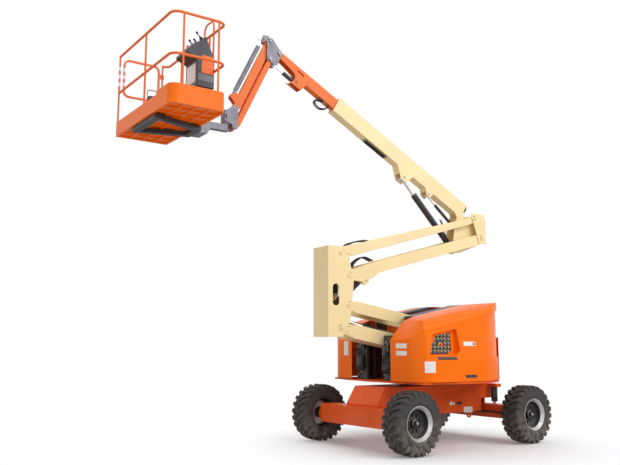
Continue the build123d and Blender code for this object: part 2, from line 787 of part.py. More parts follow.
# Upright: a channel with a front plate, two side plates and a sill, carrying four pins
front_s = upright_low[0] + upright_front
head_z = upright_top[1] + upright_head
foot_z = upright_low[1] - upright_foot
with BuildPart() as upright:
    for across in (-1, 1):
        with BuildSketch(side(turret, across * (tower_half_width - tower_plate / 2))):
            with BuildLine():
                Polyline((front_s, foot_z), (front_s, head_z), (upright_top[0] - 40, head_z),
                         (upright_top[0] - 125, upright_top[1] - 50),
                         (upright_mid[0] - 85, upright_mid[1] - 60),
                         (upright_low[0] - 150, upright_low[1] + 95), (upright_low[0] - 20, foot_z),
                         close=True)
            make_face()
            with Locations((front_s - 130, (upright_link[1] + upright_mid[1]) / 2 - 70)):
                SlotOverall(310, 110, rotation=90, mode=Mode.SUBTRACT)
        extrude(amount=tower_plate / 2, both=True)
    with BuildSketch(side(turret, 0, front_s - tower_plate / 2, (foot_z + head_z) / 2)):
        Rectangle(tower_plate, head_z - foot_z)
    extrude(amount=tower_half_width - 1, both=True)
    with BuildSketch(side(turret, 0, front_s - 75, foot_z + tower_plate / 2)):
        Rectangle(150, tower_plate)
    extrude(amount=tower_half_width - 1, both=True)
    with BuildSketch(side(turret, 0, front_s - 70, head_z - tower_plate / 2)):
        Rectangle(140, tower_plate)
    extrude(amount=tower_half_width - 1, both=True)
    for spot in (upright_low, upright_link, upright_mid, upright_top):
        for across in (-1, 1):
            with BuildSketch(side(turret, across * (tower_half_width + 8), *spot)):
                Circle(pin_radius)
            extrude(amount=across * 70)
    for across in (-1, 1):
        with BuildSketch(side(turret, across * 65)):
            with BuildLine():
                Polyline(shifted(tower_eye, (-50, 45)), (front_s - 2, tower_eye[1] + 60),
                         (front_s - 2, tower_eye[1] - 60),
                         shifted(tower_eye, (-50, -45)), close=True)
            make_face()
        extrude(amount=5, both=True)
export(upright.part, "upright")

# Knuckle: outer plates over the arm ends, inner plates for the boom's pivot and the cylinders
with BuildPart() as boom_knuckle:
    for across in (-1, 1):
        with BuildSketch(side(turret, across * (tower_half_width - tower_plate / 2))):
            with BuildLine():
                Polyline(shifted(knuckle_top, (85, 80)), shifted(knuckle_top, (-190, 80)),
                         shifted(knuckle_low, (-90, -80)), shifted(knuckle_low, (60, -80)), close=True)
            make_face()
        extrude(amount=tower_plate / 2, both=True)
        with BuildSketch(side(turret, across * (inner_plate_offset + tower_plate / 2))):
            with BuildLine():
                Polyline(shifted(boom_pivot, (60, 60)), shifted(boom_pivot, (-60, 60)),
                         shifted(knuckle_top, (-175, 60)),
                         shifted(knuckle_low, (-90, -60)), shifted(lift_foot, (-60, -70)),
                         shifted(lift_foot, (60, -60)), shifted(lift_foot, (60, 60)),
                         shifted(level_foot, (60, 40)),
                         close=True)
            make_face()
        extrude(amount=tower_plate / 2, both=True)
    with BuildSketch(side(turret, 0, knuckle_low[0] - 80, (knuckle_low[1] + knuckle_top[1]) / 2)):
        Rectangle(tower_plate, 300)
    extrude(amount=tower_half_width - 1, both=True)
    with BuildSketch(side(turret, 0, *knuckle_low)):
        Circle(pin_radius)
    extrude(amount=tower_half_width + 8, both=True)
    for across in (-1, 1):
        with BuildSketch(side(turret, across * (tower_half_width + 8), *knuckle_top)):
            Circle(pin_radius)
        extrude(amount=across * (tower_half_width + 3 - inner_plate_offset))
    for spot, radius in ((boom_pivot, pin_radius), (lift_foot, 25), (level_foot, 14)):
        with BuildSketch(side(turret, 0, *spot)):
            Circle(radius)
        extrude(amount=inner_plate_offset + tower_plate + 8, both=True)
export(boom_knuckle.part, "boom_knuckle")

# Base boom: a box tube with a pivot lug under its tail and channel lugs for the two cylinders
boom_low = boom_lift - boom_depth / 2
boom_tail = shifted(boom_pivot, turned((-10, boom_lift), boom_angle))
boom_mouth = shifted(boom_pivot, turned((boom_length, boom_lift), boom_angle))
mouth_lip = 8
lug_plate = 12
pivot_lug = [(-58, 0), (-58, boom_low + 60), (200, boom_low + 60), (140, boom_low), (58, 0)]
lift_front = [shifted(lift_lug, p) for p in ((108, 12), (120, 12), (230, 120), (214, 120))]
level_front = [shifted(level_lug, p) for p in ((68, 7), (77, 7), (120, 60), (110, 60))]
lift_side = [shifted(lift_lug, p) for p in ((-60, -50), (-130, 127), (230, 127), (60, -50))]
level_side = [shifted(level_lug, p) for p in ((-40, -35), (-70, 60), (120, 60), (40, -35))]
with BuildPart() as base_boom:
    with BuildSketch(face_on(turret, *boom_tail, boom_angle)):
        Rectangle(boom_width, boom_depth)
    extrude(amount=boom_length + 10)
    for across in (-1, 1):
        lug_plane = side(turret, across * boom_width / 2, *boom_pivot, boom_angle)
        with BuildSketch(lug_plane):
            Circle(58)
            for lug in (pivot_lug, lift_side, level_side):
                with BuildLine():
                    Polyline(*lug, close=True)
                make_face()
            Circle(bore, mode=Mode.SUBTRACT)
        extrude(amount=across * lug_plate)
    with BuildSketch(side(turret, 0, *boom_pivot, boom_angle)):
        for lug in (lift_front, level_front):
            with BuildLine():
                Polyline(*lug, close=True)
            make_face()
    extrude(amount=boom_width / 2, both=True)
    with BuildSketch(face_on(turret, *boom_tail, boom_angle)):
        Rectangle(boom_width - 2 * boom_wall, boom_depth - 2 * boom_wall)
    extrude(amount=boom_length + 10 - mouth_lip - pad_length, mode=Mode.SUBTRACT)
    with BuildSketch(face_on(turret, *boom_mouth, boom_angle)):
        Rectangle(fly_width + 2 * seat_clearance, fly_depth + 2 * seat_clearance)
    extrude(amount=-pad_length - mouth_lip - 1, mode=Mode.SUBTRACT)
    with BuildSketch(face_on(turret, *boom_mouth, boom_angle)):
        Rectangle(boom_width - 2 * boom_wall, boom_depth - 2 * boom_wall)
    extrude(amount=-mouth_lip, mode=Mode.SUBTRACT)
export(base_boom.part, "base_boom")

# Fly boom: a smaller tube inside the base, ending in two nose plates with a lug for the slave cylinder
fly_low, fly_high = boom_lift - fly_depth / 2, boom_lift + fly_depth / 2
fly_end = shifted(boom_pivot, turned((fly_tail, boom_lift), boom_angle))
nose_plate = 10
nose_start = fly_nose - 620
with BuildPart() as fly_boom:
    with BuildSketch(face_on(turret, *fly_end, boom_angle)):
        Rectangle(fly_width, fly_depth)
        Rectangle(fly_width - 10, fly_depth - 10, mode=Mode.SUBTRACT)
    extrude(amount=nose_start + 20 - fly_tail)
    with BuildSketch(face_on(turret, *fly_end, boom_angle)):
        Rectangle(boom_width - 2 * boom_wall - 2 * seat_clearance,
                  boom_depth - 2 * boom_wall - 2 * seat_clearance)
        Rectangle(fly_width - 6, fly_depth - 6, mode=Mode.SUBTRACT)
    extrude(amount=pad_length)
    for across in (-1, 1):
        with BuildSketch(side(turret, across * fly_width / 2, *boom_pivot, boom_angle)):
            with BuildLine():
                l1 = Polyline((fly_nose - 350, 125), (fly_nose - 200, 150), (fly_nose + 10, nose_rise - 40),
                              (fly_nose + 38, nose_rise), (fly_nose + 20, nose_rise + 40),
                              (nose_start, fly_high),
                              (nose_start, fly_low), (fly_nose - 600, fly_low), (fly_nose - 560, -26),
                              (fly_nose - 330, -34))
                ThreePointArc(l1 @ 1, (fly_nose - 400, 40), l1 @ 0)
            make_face()
            with Locations((fly_nose - 435, 195)):
                SlotOverall(130, 22, rotation=5, mode=Mode.SUBTRACT)
            with Locations((fly_nose, nose_rise)):
                Circle(nose_pin_radius + running_clearance, mode=Mode.SUBTRACT)
            with Locations(turned((slave_hinge[0] - boom_pivot[0], slave_hinge[1] - boom_pivot[1]),
                                  -boom_angle)):
                Circle(slave_pin + running_clearance, mode=Mode.SUBTRACT)
        extrude(amount=across * nose_plate)
    with BuildSketch(side(turret, 0, *boom_pivot, boom_angle)):
        with BuildLine():
            Polyline((nose_start + 15, fly_high - 1), (fly_nose - 60, fly_high - 1),
                     (fly_nose - 60, fly_high - 9),
                     (nose_start + 21, fly_high - 9), (nose_start + 21, fly_high - 4),
                     (nose_start + 15, fly_high - 4),
                     close=True)
        make_face()
        with BuildLine():
            Polyline((nose_start + 10, fly_low + 1), (fly_nose - 598, fly_low + 1), (fly_nose - 560, -25),
                     (fly_nose - 550, -25), (fly_nose - 588, fly_low + 4), (nose_start + 10, fly_low + 4),
                     close=True)
        make_face()
    extrude(amount=fly_width / 2 - 1, both=True)
export(fly_boom.part, "fly_boom")


def cylinder_pair(name, foot, eye, rod_radius, barrel_radius, barrel_share, foot_bore, eye_width):
    """A hydraulic cylinder: barrel from its foot pin, rod out to an eye that has no pin of its own."""
    length, pitch = span(foot, eye)
    barrel_length = length * barrel_share
    with BuildPart() as barrel:
        with BuildSketch(face_on(turret, *shifted(foot, turned((foot_bore + 6, 0), pitch)), pitch)):
            Circle(barrel_radius)
        extrude(amount=barrel_length - foot_bore - 6)
        with BuildSketch(side(turret, 0, *foot)):
            Circle(foot_bore + 16)
        extrude(amount=barrel_radius * 0.7, both=True)
        with BuildSketch(side(turret, 0, *foot)):
            Circle(foot_bore + running_clearance)
        extrude(amount=barrel_radius * 2, both=True, mode=Mode.SUBTRACT)
        with BuildSketch(face_on(turret, *shifted(foot, turned((barrel_length, 0), pitch)), pitch)):
            Circle(rod_radius + running_clearance)
        extrude(amount=-(barrel_length - foot_bore - 40), mode=Mode.SUBTRACT)
    export(barrel.part, name + "_barrel")
    with BuildPart() as rod:
        with BuildSketch(face_on(turret, *shifted(foot, turned((barrel_length * 0.35, 0), pitch)), pitch)):
            Circle(rod_radius)
        extrude(amount=length - barrel_length * 0.35 - rod_radius)
        with BuildSketch(side(turret, 0, *eye)):
            Circle(rod_radius * 1.5)
        extrude(amount=eye_width / 2, both=True)
    export(rod.part, name + "_rod")


cylinder_pair("tower_lift", arm_foot, tower_eye, 32, 55, tower_ram_share, pin_radius,
              2 * (60 - seat_clearance))
cylinder_pair("boom_lift", lift_foot, lift_eye, 28, 48, 0.78, 25,
              2 * (boom_width / 2 - lug_plate - seat_clearance))
cylinder_pair("level", level_foot, level_eye, 12, 24, 0.7, 14,
              2 * (boom_width / 2 - lug_plate - seat_clearance))

# Slave levelling cylinder: a short barrel held in the nose, its rod out to the level bracket
with BuildPart() as slave_barrel:
    with BuildSketch(face_on(turret, *slave_foot, boom_angle)):
        Circle(30)
    extrude(amount=slave_barrel_length)
    with BuildSketch(side(turret, 0, *slave_foot, boom_angle)):
        with Locations((-22, 0)):
            Rectangle(46, 40)
        with Locations((-45, 0)):
            Circle(20)
    extrude(amount=fly_width / 2 - nose_plate - seat_clearance, both=True)
    with BuildSketch(side(turret, 0, *slave_hinge)):
        Circle(slave_pin)
    extrude(amount=fly_width / 2 + 5, both=True)
    with BuildSketch(face_on(turret, *shifted(slave_foot, turned((-slave_bottom, 0), boom_angle)),
                             boom_angle)):
        Circle(slave_rod_radius + running_clearance)
    extrude(amount=slave_bottom + slave_barrel_length, mode=Mode.SUBTRACT)
export(slave_barrel.part, "slave_barrel")
with BuildPart() as slave_rod:
    with BuildSketch(face_on(turret, *shifted(slave_foot, turned((slave_tail, 0), boom_angle)), boom_angle)):
        Circle(slave_rod_radius)
    extrude(amount=slave_reach - slave_tail - 10)
    with BuildSketch(side(turret, 0, *slave_eye)):
        Circle(slave_boss)
    extrude(amount=slave_eye_half, both=True)
export(slave_rod.part, "slave_rod")

# Level bracket: two plates on the boom's nose that carry the jib's pins
with BuildPart() as level_bracket:
    for across in (-1, 1):
        with BuildSketch(side(turret, across * plate_across, *nose)):
            with BuildLine():
                Polyline((-45, 20), (-10, 50), shifted(jib_pin, (-40, 40)), shifted(jib_pin, (40, 70)),
                         shifted(jib_pin, (115, 60)), shifted(jib_pin, (105, 15)),
                         shifted(jib_pin, (45, -20)),
                         shifted(jib_pin, (45, -jib_spacing - 20)), shifted(jib_pin, (0, -jib_spacing - 40)),
                         shifted(level_pin, (20, -30)), shifted(level_pin, (-30, -20)), (-40, -30),
                         close=True)
            make_face()
        extrude(amount=jib_plate / 2, both=True)
    for across in (-1, 1):
        with BuildSketch(side(turret, across * plate_across, *slave_eye)):
            Circle(slave_boss)
        extrude(amount=across * (plate_across - slave_eye_half - seat_clearance))
    for spot, radius in ((nose, nose_pin_radius), (jib_top, jib_pin_radius)):
        with BuildSketch(side(turret, 0, *spot)):
            Circle(radius)
        extrude(amount=plate_across + jib_plate, both=True)
    for across in (-1, 1):
        with BuildSketch(side(turret, across * (plate_across + jib_plate), *jib_low)):
            Circle(jib_pin_radius)
        extrude(amount=across * (plate_across + jib_plate - stub_across))
export(level_bracket.part, "level_bracket")

# Jib: a main arm and a link that keep the platform's foot upright, with the jib cylinder in front
with BuildPart() as jib_arm:
    with BuildSketch(side(turret, 0, *jib_top, jib_angle)):
        with BuildLine():
            Polyline((0, -jib_eye), (90, -jib_below), (jib_length - 90, -jib_below), (jib_length, -jib_eye),
                     (jib_length, jib_above), (0, jib_above), close=True)
        make_face()
        with Locations((0, 0), (jib_length, 0)):
            Circle(jib_eye)
            Circle(jib_pin_radius + running_clearance, mode=Mode.SUBTRACT)
    extrude(amount=jib_width / 2, both=True)
    for across in (-1, 1):
        with BuildSketch(side(turret, across * (jib_width / 2 - 8), *jib_top, jib_angle)):
            with BuildLine():
                Polyline((jib_length - 260, 20), (jib_length - 190, jib_ram_offset + 34),
                         (jib_length - 130, jib_ram_offset + 34), (jib_length - 80, 20), close=True)
            make_face()
        extrude(amount=8, both=True)
export(jib_arm.part, "jib_arm")

with BuildPart() as jib_link:
    for across in (-1, 1):
        with BuildSketch(side(turret, across * link_across, *jib_low, jib_angle)):
            with BuildLine():
                Polyline((0, -link_eye), (70, -jib_link_below), (jib_length - 70, -jib_link_below),
                         (jib_length, -link_eye), (jib_length, jib_link_above), (0, jib_link_above),
                         close=True)
            make_face()
            with Locations((0, 0), (jib_length, 0)):
                Circle(link_eye)
                Circle(jib_pin_radius + running_clearance, mode=Mode.SUBTRACT)
        extrude(amount=link_thickness / 2, both=True)
export(jib_link.part, "jib_link")

# Jib cylinder: barrel held between the jib arm's cheeks, rod back to the level bracket's ear
ram_foot = shifted(jib_top, turned((jib_length - 160, jib_ram_offset), jib_angle))
ram_mouth = shifted(jib_top, turned((jib_ram_reach, jib_ram_offset), jib_angle))
ram_barrel = jib_length - 270 - jib_ram_reach
with BuildPart() as jib_barrel:
    with BuildSketch(face_on(turret, *ram_mouth, jib_angle)):
        Circle(jib_ram_radius)
    extrude(amount=ram_barrel)
    with BuildSketch(side(turret, 0, *ram_foot)):
        Circle(24)
        with BuildLine():
            Polyline(turned((0, 20), jib_angle), turned((-120, 20), jib_angle),
                     turned((-120, -20), jib_angle),
                     turned((0, -20), jib_angle), close=True)
        make_face()
    extrude(amount=jib_width / 2 - 16 - seat_clearance, both=True)
    with BuildSketch(face_on(turret, *ram_mouth, jib_angle)):
        Circle(jib_rod_radius + running_clearance)
    extrude(amount=ram_barrel - 40, mode=Mode.SUBTRACT)
export(jib_barrel.part, "jib_barrel")
with BuildPart() as jib_rod:
    with BuildSketch(face_on(turret, *shifted(jib_top, turned((10, jib_ram_offset), jib_angle)), jib_angle)):
        Circle(jib_rod_radius)
    extrude(amount=jib_ram_reach + 500)
    with BuildSketch(side(turret, 0, *shifted(jib_top, turned((0, jib_ram_offset), jib_angle)))):
        Circle(24)
    extrude(amount=plate_across - jib_plate / 2 - seat_clearance, both=True)
export(jib_rod.part, "jib_rod")

# Jib foot: plates on the jib's lower pins, with the rotator in front of them
with BuildPart() as jib_foot:
    for across in (-1, 1):
        with BuildSketch(side(turret, across * plate_across)):
            with BuildLine():
                Polyline(shifted(foot_top, (-45, 30)), shifted(foot_top, (0, 60)), (rotator, rotator_high),
                         (rotator, rotator_low + 25), (rotator - 75, rotator_low + 8),
                         shifted(foot_low, (20, -45)), shifted(foot_low, (-40, -20)), close=True)
            make_face()
        extrude(amount=jib_plate / 2, both=True)
    for height in (rotator_low + 60, rotator_high - 40):
        with BuildSketch(side(turret, 0, rotator, height)):
            Rectangle(60, 40)
        extrude(amount=plate_across, both=True)
    with BuildSketch(level(turret, rotator_low, rotator)):
        Circle(rotator_radius)
    extrude(amount=rotator_high - rotator_low)
    with BuildSketch(side(turret, 0, *foot_top)):
        Circle(jib_pin_radius)
    extrude(amount=plate_across + jib_plate, both=True)
    for across in (-1, 1):
        with BuildSketch(side(turret, across * (plate_across + jib_plate), *foot_low)):
            Circle(jib_pin_radius)
        extrude(amount=across * (plate_across + jib_plate - stub_across))
export(jib_foot.part, "jib_foot")

# Platform: an arm from the rotator, the frame under the floor, the basket, its console and its gate
support_top = basket_floor - seat_clearance
frame_low = support_top - 60
mount_near = basket_reach - 560
mount_far = basket_reach - basket_depth / 2 - 12
with BuildPart() as platform_support:
    with BuildSketch(level(basket_plane, arm_low)):
        Circle(rotator_radius)
        with BuildLine():
            Polyline((0, 50), (mount_near + 60, 50), (mount_near + 60, -50), (0, -50), close=True)
        make_face()
    extrude(amount=arm_high - arm_low)
    with BuildSketch(level(basket_plane, arm_low)):
        Circle(rotator_radius)
    extrude(amount=rotator_low - seat_clearance - arm_low)
    with BuildSketch(side(basket_plane, 0)):
        with BuildLine():
            Polyline((mount_near, arm_low - 10), (mount_near + 30, arm_high), (mount_far - 40, arm_high - 10),
                     (mount_far, arm_low), (mount_far, frame_low), (mount_near + 60, frame_low), close=True)
        make_face()
    extrude(amount=mount_half, both=True)
export(platform_support.part, "platform_support")

with BuildPart() as platform_frame:
    with BuildSketch(level(basket_plane, frame_low)):
        with BuildLine():
            Polyline((mount_far + seat_clearance, 185), (basket_reach + 290, 390), (basket_reach + 345, 390),
                     (basket_reach + 345, -390), (basket_reach + 290, -390),
                     (mount_far + seat_clearance, -185),
                     close=True)
        make_face()
        with BuildLine():
            Polyline((mount_far + 90, 115), (basket_reach + 255, 300), (basket_reach + 255, -300),
                     (mount_far + 90, -115), close=True)
        make_face(mode=Mode.SUBTRACT)
    extrude(amount=60)
export(platform_frame.part, "platform_frame")

with BuildPart() as platform_floor:
    for height, wall, mode in ((0, 0, Mode.ADD), (floor_thickness, toe_wall, Mode.SUBTRACT)):
        with BuildSketch(level(basket_plane, basket_floor + height, basket_reach)) as outline:
            Rectangle(basket_depth - 2 * wall, basket_length - 2 * wall)
            fillet(outline.vertices().group_by(Axis.Y)[-1], radius=rail_corner - wall)
            fillet(outline.vertices().group_by(Axis.Y)[0], radius=entry_corner - wall)
        extrude(amount=toe_high, mode=mode)
    with BuildSketch(level(basket_plane, basket_floor + toe_height, basket_reach,
                           (toe_step - basket_length / 2) / 2)):
        Rectangle(basket_depth + 20, toe_step + basket_length / 2 + 10)
    extrude(amount=toe_high, mode=Mode.SUBTRACT)
    with BuildSketch(level(basket_plane, basket_floor, basket_reach)):
        with GridLocations(175, 196, 4, 9):
            Rectangle(150, 170)
    extrude(amount=rib_depth, mode=Mode.SUBTRACT)
export(platform_floor.part, "platform_floor")

rail_half_depth = basket_depth / 2 - rail_radius
rail_half_length = basket_length / 2 - rail_radius
post_foot = basket_floor + floor_thickness + seat_clearance
post_inset = toe_wall + post_radius + seat_clearance
rail_top = basket_floor + basket_height - rail_radius
with BuildPart() as platform_rails:
    for height in (rail_top, basket_floor + mid_rail):
        with BuildLine(level(basket_plane, height, basket_reach)) as loop:
            FilletPolyline((rail_half_depth, -rail_half_length), (rail_half_depth, rail_half_length),
                           (-rail_half_depth, rail_half_length), (-rail_half_depth, -rail_half_length),
                           (gate_post, -rail_half_length), radius=(rail_corner, rail_corner, rail_return))
        with BuildSketch(Plane(origin=loop.line @ 0, z_dir=loop.line % 0)):
            Circle(rail_radius)
        sweep(path=loop.line)
    post_depth, post_length = basket_depth / 2 - post_inset, basket_length / 2 - post_inset
    for along, across in ((post_depth, -post_length), (post_depth, 50), (215, post_length),
                          (-255, post_length),
                          (-post_depth, 430), (-post_depth, -430), (gate_post, -post_length)):
        with BuildSketch(level(basket_plane, post_foot, basket_reach + along, across)):
            Circle(post_radius)
        extrude(amount=rail_top - post_foot)
    guard_top = rail_top + guard_rise
    with BuildLine(face_on(basket_plane, basket_reach - rail_half_depth)) as guard:
        FilletPolyline((guard_right, rail_top), (guard_right, guard_top), (guard_left, guard_top),
                       (guard_left, basket_floor + mid_rail), radius=90)
    with BuildSketch(Plane(origin=guard.line @ 0, z_dir=guard.line % 0)):
        Circle(guard_radius)
    sweep(path=guard.line)
    with BuildLine(face_on(basket_plane, basket_reach - rail_half_depth)) as brace:
        Line((guard_right, rail_top), (guard_left - 40, basket_floor + mid_rail + 230))
    with BuildSketch(Plane(origin=brace.line @ 0, z_dir=brace.line % 0)):
        Circle(guard_radius)
    sweep(path=brace.line)
export(platform_rails.part, "platform_rails")

# Entry gate: a tube frame on sleeves round the post beside the entry
with BuildPart() as entry_gate:
    gate_near, gate_far = gate_post + 42, rail_half_depth - 50
    gate_side = side(basket_plane, -post_length, basket_reach, basket_floor)
    with BuildSketch(gate_side):
        with BuildLine():
            FilletPolyline((gate_near, gate_low), (gate_far, gate_low), (gate_far, gate_high),
                           (gate_near, gate_high),
                           radius=90, close=True)
        make_face()
        with BuildLine():
            FilletPolyline((gate_near + 26, gate_low + 26), (gate_far - 26, gate_low + 26),
                           (gate_far - 26, gate_high - 26), (gate_near + 26, gate_high - 26), radius=64,
                           close=True)
        make_face(mode=Mode.SUBTRACT)
    extrude(amount=13, both=True)
    for height in (gate_low + 120, gate_high - 180):
        with BuildSketch(level(basket_plane, basket_floor + height, basket_reach, -post_length)):
            with Locations((gate_post, 0)):
                Circle(post_radius + 9)
            with Locations(((gate_post + gate_near) / 2 + 5, 0)):
                Rectangle(gate_near - gate_post, 16)
            with Locations((gate_post, 0)):
                Circle(post_radius + running_clearance, mode=Mode.SUBTRACT)
        extrude(amount=60)
export(entry_gate.part, "entry_gate")

# Console: a box held on the near rail, with the sloping control head above it
console_back = basket_reach - rail_half_depth + rail_radius + seat_clearance
console_low, console_high = basket_floor + 374, basket_floor + 724
with BuildPart() as platform_console:
    with BuildSketch(side(basket_plane, console_right)):
        with BuildLine():
            Polyline((console_back, console_low), (console_back, console_high + 40),
                     (basket_reach - 215, basket_floor + 1045), (basket_reach + 40, basket_floor + 820),
                     (basket_reach + 40, basket_floor + 785), (basket_reach - 100, console_high),
                     (basket_reach - 100, console_low), close=True)
        make_face()
    extrude(amount=console_right - console_left)
export(platform_console.part, "platform_console")
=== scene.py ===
# Articulating boom lift with a telescopic upper boom: looks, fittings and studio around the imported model.
import json
import math
import bpy
import bmesh
import numpy as np
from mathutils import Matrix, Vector
from mathutils.bvhtree import BVHTree


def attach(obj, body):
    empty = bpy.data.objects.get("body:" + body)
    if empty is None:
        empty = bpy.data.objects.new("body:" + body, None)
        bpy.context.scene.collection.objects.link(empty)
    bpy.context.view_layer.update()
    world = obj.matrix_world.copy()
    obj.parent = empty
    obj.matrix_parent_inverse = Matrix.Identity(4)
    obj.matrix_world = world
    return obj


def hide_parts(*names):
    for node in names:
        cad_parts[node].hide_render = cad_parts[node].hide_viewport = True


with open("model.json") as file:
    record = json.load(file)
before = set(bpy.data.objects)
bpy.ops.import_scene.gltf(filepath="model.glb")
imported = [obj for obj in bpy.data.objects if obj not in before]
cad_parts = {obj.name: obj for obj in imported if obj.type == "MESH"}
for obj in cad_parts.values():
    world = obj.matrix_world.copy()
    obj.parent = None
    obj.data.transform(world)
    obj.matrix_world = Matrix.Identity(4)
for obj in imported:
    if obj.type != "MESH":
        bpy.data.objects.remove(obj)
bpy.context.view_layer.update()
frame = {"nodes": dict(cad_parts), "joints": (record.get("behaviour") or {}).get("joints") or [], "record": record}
nodes = frame["nodes"]
joints = {j["name"]: j for j in frame["joints"]}
print("frame loaded:", len(nodes), "nodes")

# Directions and planes: the chassis, the turntable and the basket each have their own, in millimetres
ups = np.array([0.0, 0.0, 1.0])
leftwards = -np.array(joints["tower_lift"]["axis"])
ahead = np.cross(leftwards, ups)


def jointAt(name):
    return np.array(joints[name]["pos_m"])


slew = jointAt("turret_swing") * [1, 1, 0]
rotator = jointAt("platform_rotate") * [1, 1, 0]
basketTurn = math.radians(3.8)
basketAhead = ahead * math.cos(basketTurn) + leftwards * math.sin(basketTurn)
basketLeft = leftwards * math.cos(basketTurn) - ahead * math.sin(basketTurn)


def mm(*values):
    return np.array(values, float) / 1000


def chassisAt(x, y, z):
    return slew + mm(x, y, z)


def turretAt(s, l, z):
    return slew + (ahead * s + leftwards * l + ups * z) / 1000


def basketAt(u, w, h):
    return rotator + (basketAhead * (821 + u) + basketLeft * w + ups * h) / 1000


def lineFrame(origin, angle):
    c, s = math.cos(math.radians(angle)), math.sin(math.radians(angle))
    return {"origin": origin, "along": ahead * c + ups * s, "above": ups * c - ahead * s}


def on(line, u, l, v):
    return line["origin"] + (line["along"] * u + leftwards * l + line["above"] * v) / 1000


# The tower's pins: the lower arm's foot, lengths and tilts of the arms, and each second pin from the first
tower = {"foot": (-560, 1270), "lowerArm": 2150, "lowerTilt": 10.5, "linkPin": (-129, 328),
         "upright": (0, 1071),
         "midPin": (-129, -319), "midArm": 2673, "midTilt": -15.5}
boomLine = lineFrame(jointAt("boom_lift"), 29.8)
midLine = lineFrame(jointAt("mid_upper_pin"), tower["midTilt"])
midLowLine = lineFrame(jointAt("mid_lower_pin"), tower["midTilt"])


# Shapes: each maker gives vertices and faces as whole arrays
def gridFaces(rows, columns, closeRows=False, closeColumns=False):
    # quad between row i, i + 1 and column j, j + 1, wrapped round where a direction closes
    i = np.arange(rows if closeRows else rows - 1)[:, None]
    j = np.arange(columns if closeColumns else columns - 1)[None, :]
    a = i * columns + j
    b = i * columns + (j + 1) % columns
    c = ((i + 1) % rows) * columns + (j + 1) % columns
    d = ((i + 1) % rows) * columns + j
    return np.stack([a, b, c, d], -1).reshape(-1, 4)


def sideways(axis):
    axis = axis / np.linalg.norm(axis)
    guess = ups if abs(axis[2]) < 0.9 else np.array([1.0, 0, 0])
    x = np.cross(guess, axis)
    x /= np.linalg.norm(x)
    return axis, x, np.cross(axis, x)


def revolved(profile, centre, axis, segments=32, closed=False):
    # each profile point (radius, reach) goes round the axis: centre + reach*axis + radius*(cos t, sin t)
    axis, x, y = sideways(np.array(axis, float))
    profile = np.array(profile, float)
    t = np.linspace(0, 2 * math.pi, segments, endpoint=False)
    ring = np.cos(t)[:, None] * x + np.sin(t)[:, None] * y
    points = centre + profile[:, None, 1:2] * axis + profile[:, None, 0:1] * ring[None]
    return points.reshape(-1, 3), gridFaces(len(profile), segments, closed, True)


def tubed(path, radius, sides=10):
    # a circle of the radius carried along the path, its frame turned as little as possible on the way
    path = np.array(path, float)
    tangent = np.gradient(path, axis=0)
    tangent /= np.linalg.norm(tangent, axis=1)[:, None]
    frames = [sideways(tangent[0])[1]]
    for k in range(1, len(path)):
        x = frames[-1] - tangent[k] * np.dot(frames[-1], tangent[k])
        frames.append(x / np.linalg.norm(x))
    x = np.array(frames)
    y = np.cross(tangent, x)
    t = np.linspace(0, 2 * math.pi, sides, endpoint=False)
    radius = np.broadcast_to(np.array(radius, float), (len(path),))
    ring = np.cos(t)[:, None] * x[:, None] + np.sin(t)[:, None] * y[:, None]
    points = path[:, None] + radius[:, None, None] * ring
    faces = [list(f) for f in gridFaces(len(path), sides, False, True)]
    faces += [list(range(sides))[::-1], [(len(path) - 1) * sides + k for k in range(sides)]]
    return points.reshape(-1, 3), faces


def smooth(points, steps=8):
    # Catmull-Rom: each span is the cubic through its ends with the slopes of their neighbours
    p = np.array(points, float)
    p = np.vstack([2 * p[0] - p[1], p, 2 * p[-1] - p[-2]])
    t = np.linspace(0, 1, steps, endpoint=False)[:, None]
    spans = []
    for a, b, c, d in zip(p[:-3], p[1:-2], p[2:-1], p[3:]):
        square, cube = 2 * a - 5 * b + 4 * c - d, 3 * b - a - 3 * c + d
        spans.append(0.5 * (2 * b + (c - a) * t + square * t ** 2 + cube * t ** 3))
    return np.vstack(spans + [p[-2:-1]])


def prismed(outline, origin, x, y, depth):
    # the outline's points origin + a*x + b*y, and the same shifted by depth along x cross y
    outline = np.array(outline, float)
    normal = np.cross(x, y)
    flat = origin + (outline[:, 0:1] * x + outline[:, 1:2] * y) / 1000
    points = np.vstack([flat, flat + normal * depth / 1000])
    n = len(outline)
    sides = [[k, (k + 1) % n, n + (k + 1) % n, n + k] for k in range(n)]
    return points, sides + [list(range(n))[::-1], list(range(n, 2 * n))]


def rounded(width, height, radius, steps=5, at=(0, 0)):
    # four quarter circles of the radius, one at each corner of the rectangle
    t = np.linspace(0, math.pi / 2, steps)
    corners = [(1, 1, 0), (-1, 1, 1), (-1, -1, 2), (1, -1, 3)]
    return [(at[0] + a * (width / 2 - radius) + radius * math.cos(q + k * math.pi / 2),
             at[1] + b * (height / 2 - radius) + radius * math.sin(q + k * math.pi / 2))
            for a, b, k in corners for q in t]


def boltHead(centre, axis, size, height):
    # a hexagon with a chamfered top on a round washer
    washer = revolved(np.array([(0, -2), (size * 1.5, -2), (size * 1.5, 2), (0, 2)]) / 1000, centre, axis, 16)
    profile = np.array([(size, 0), (size, height * 0.75), (size * 0.8, height), (0.01, height)]) / 1000
    return [washer, revolved(profile, centre, axis, 6)]


def merged(parts):
    points, faces, base = [], [], 0
    for p, f in parts:
        points.append(np.asarray(p))
        faces += [[int(i) + base for i in face] for face in f]
        base += len(p)
    return np.vstack(points), faces


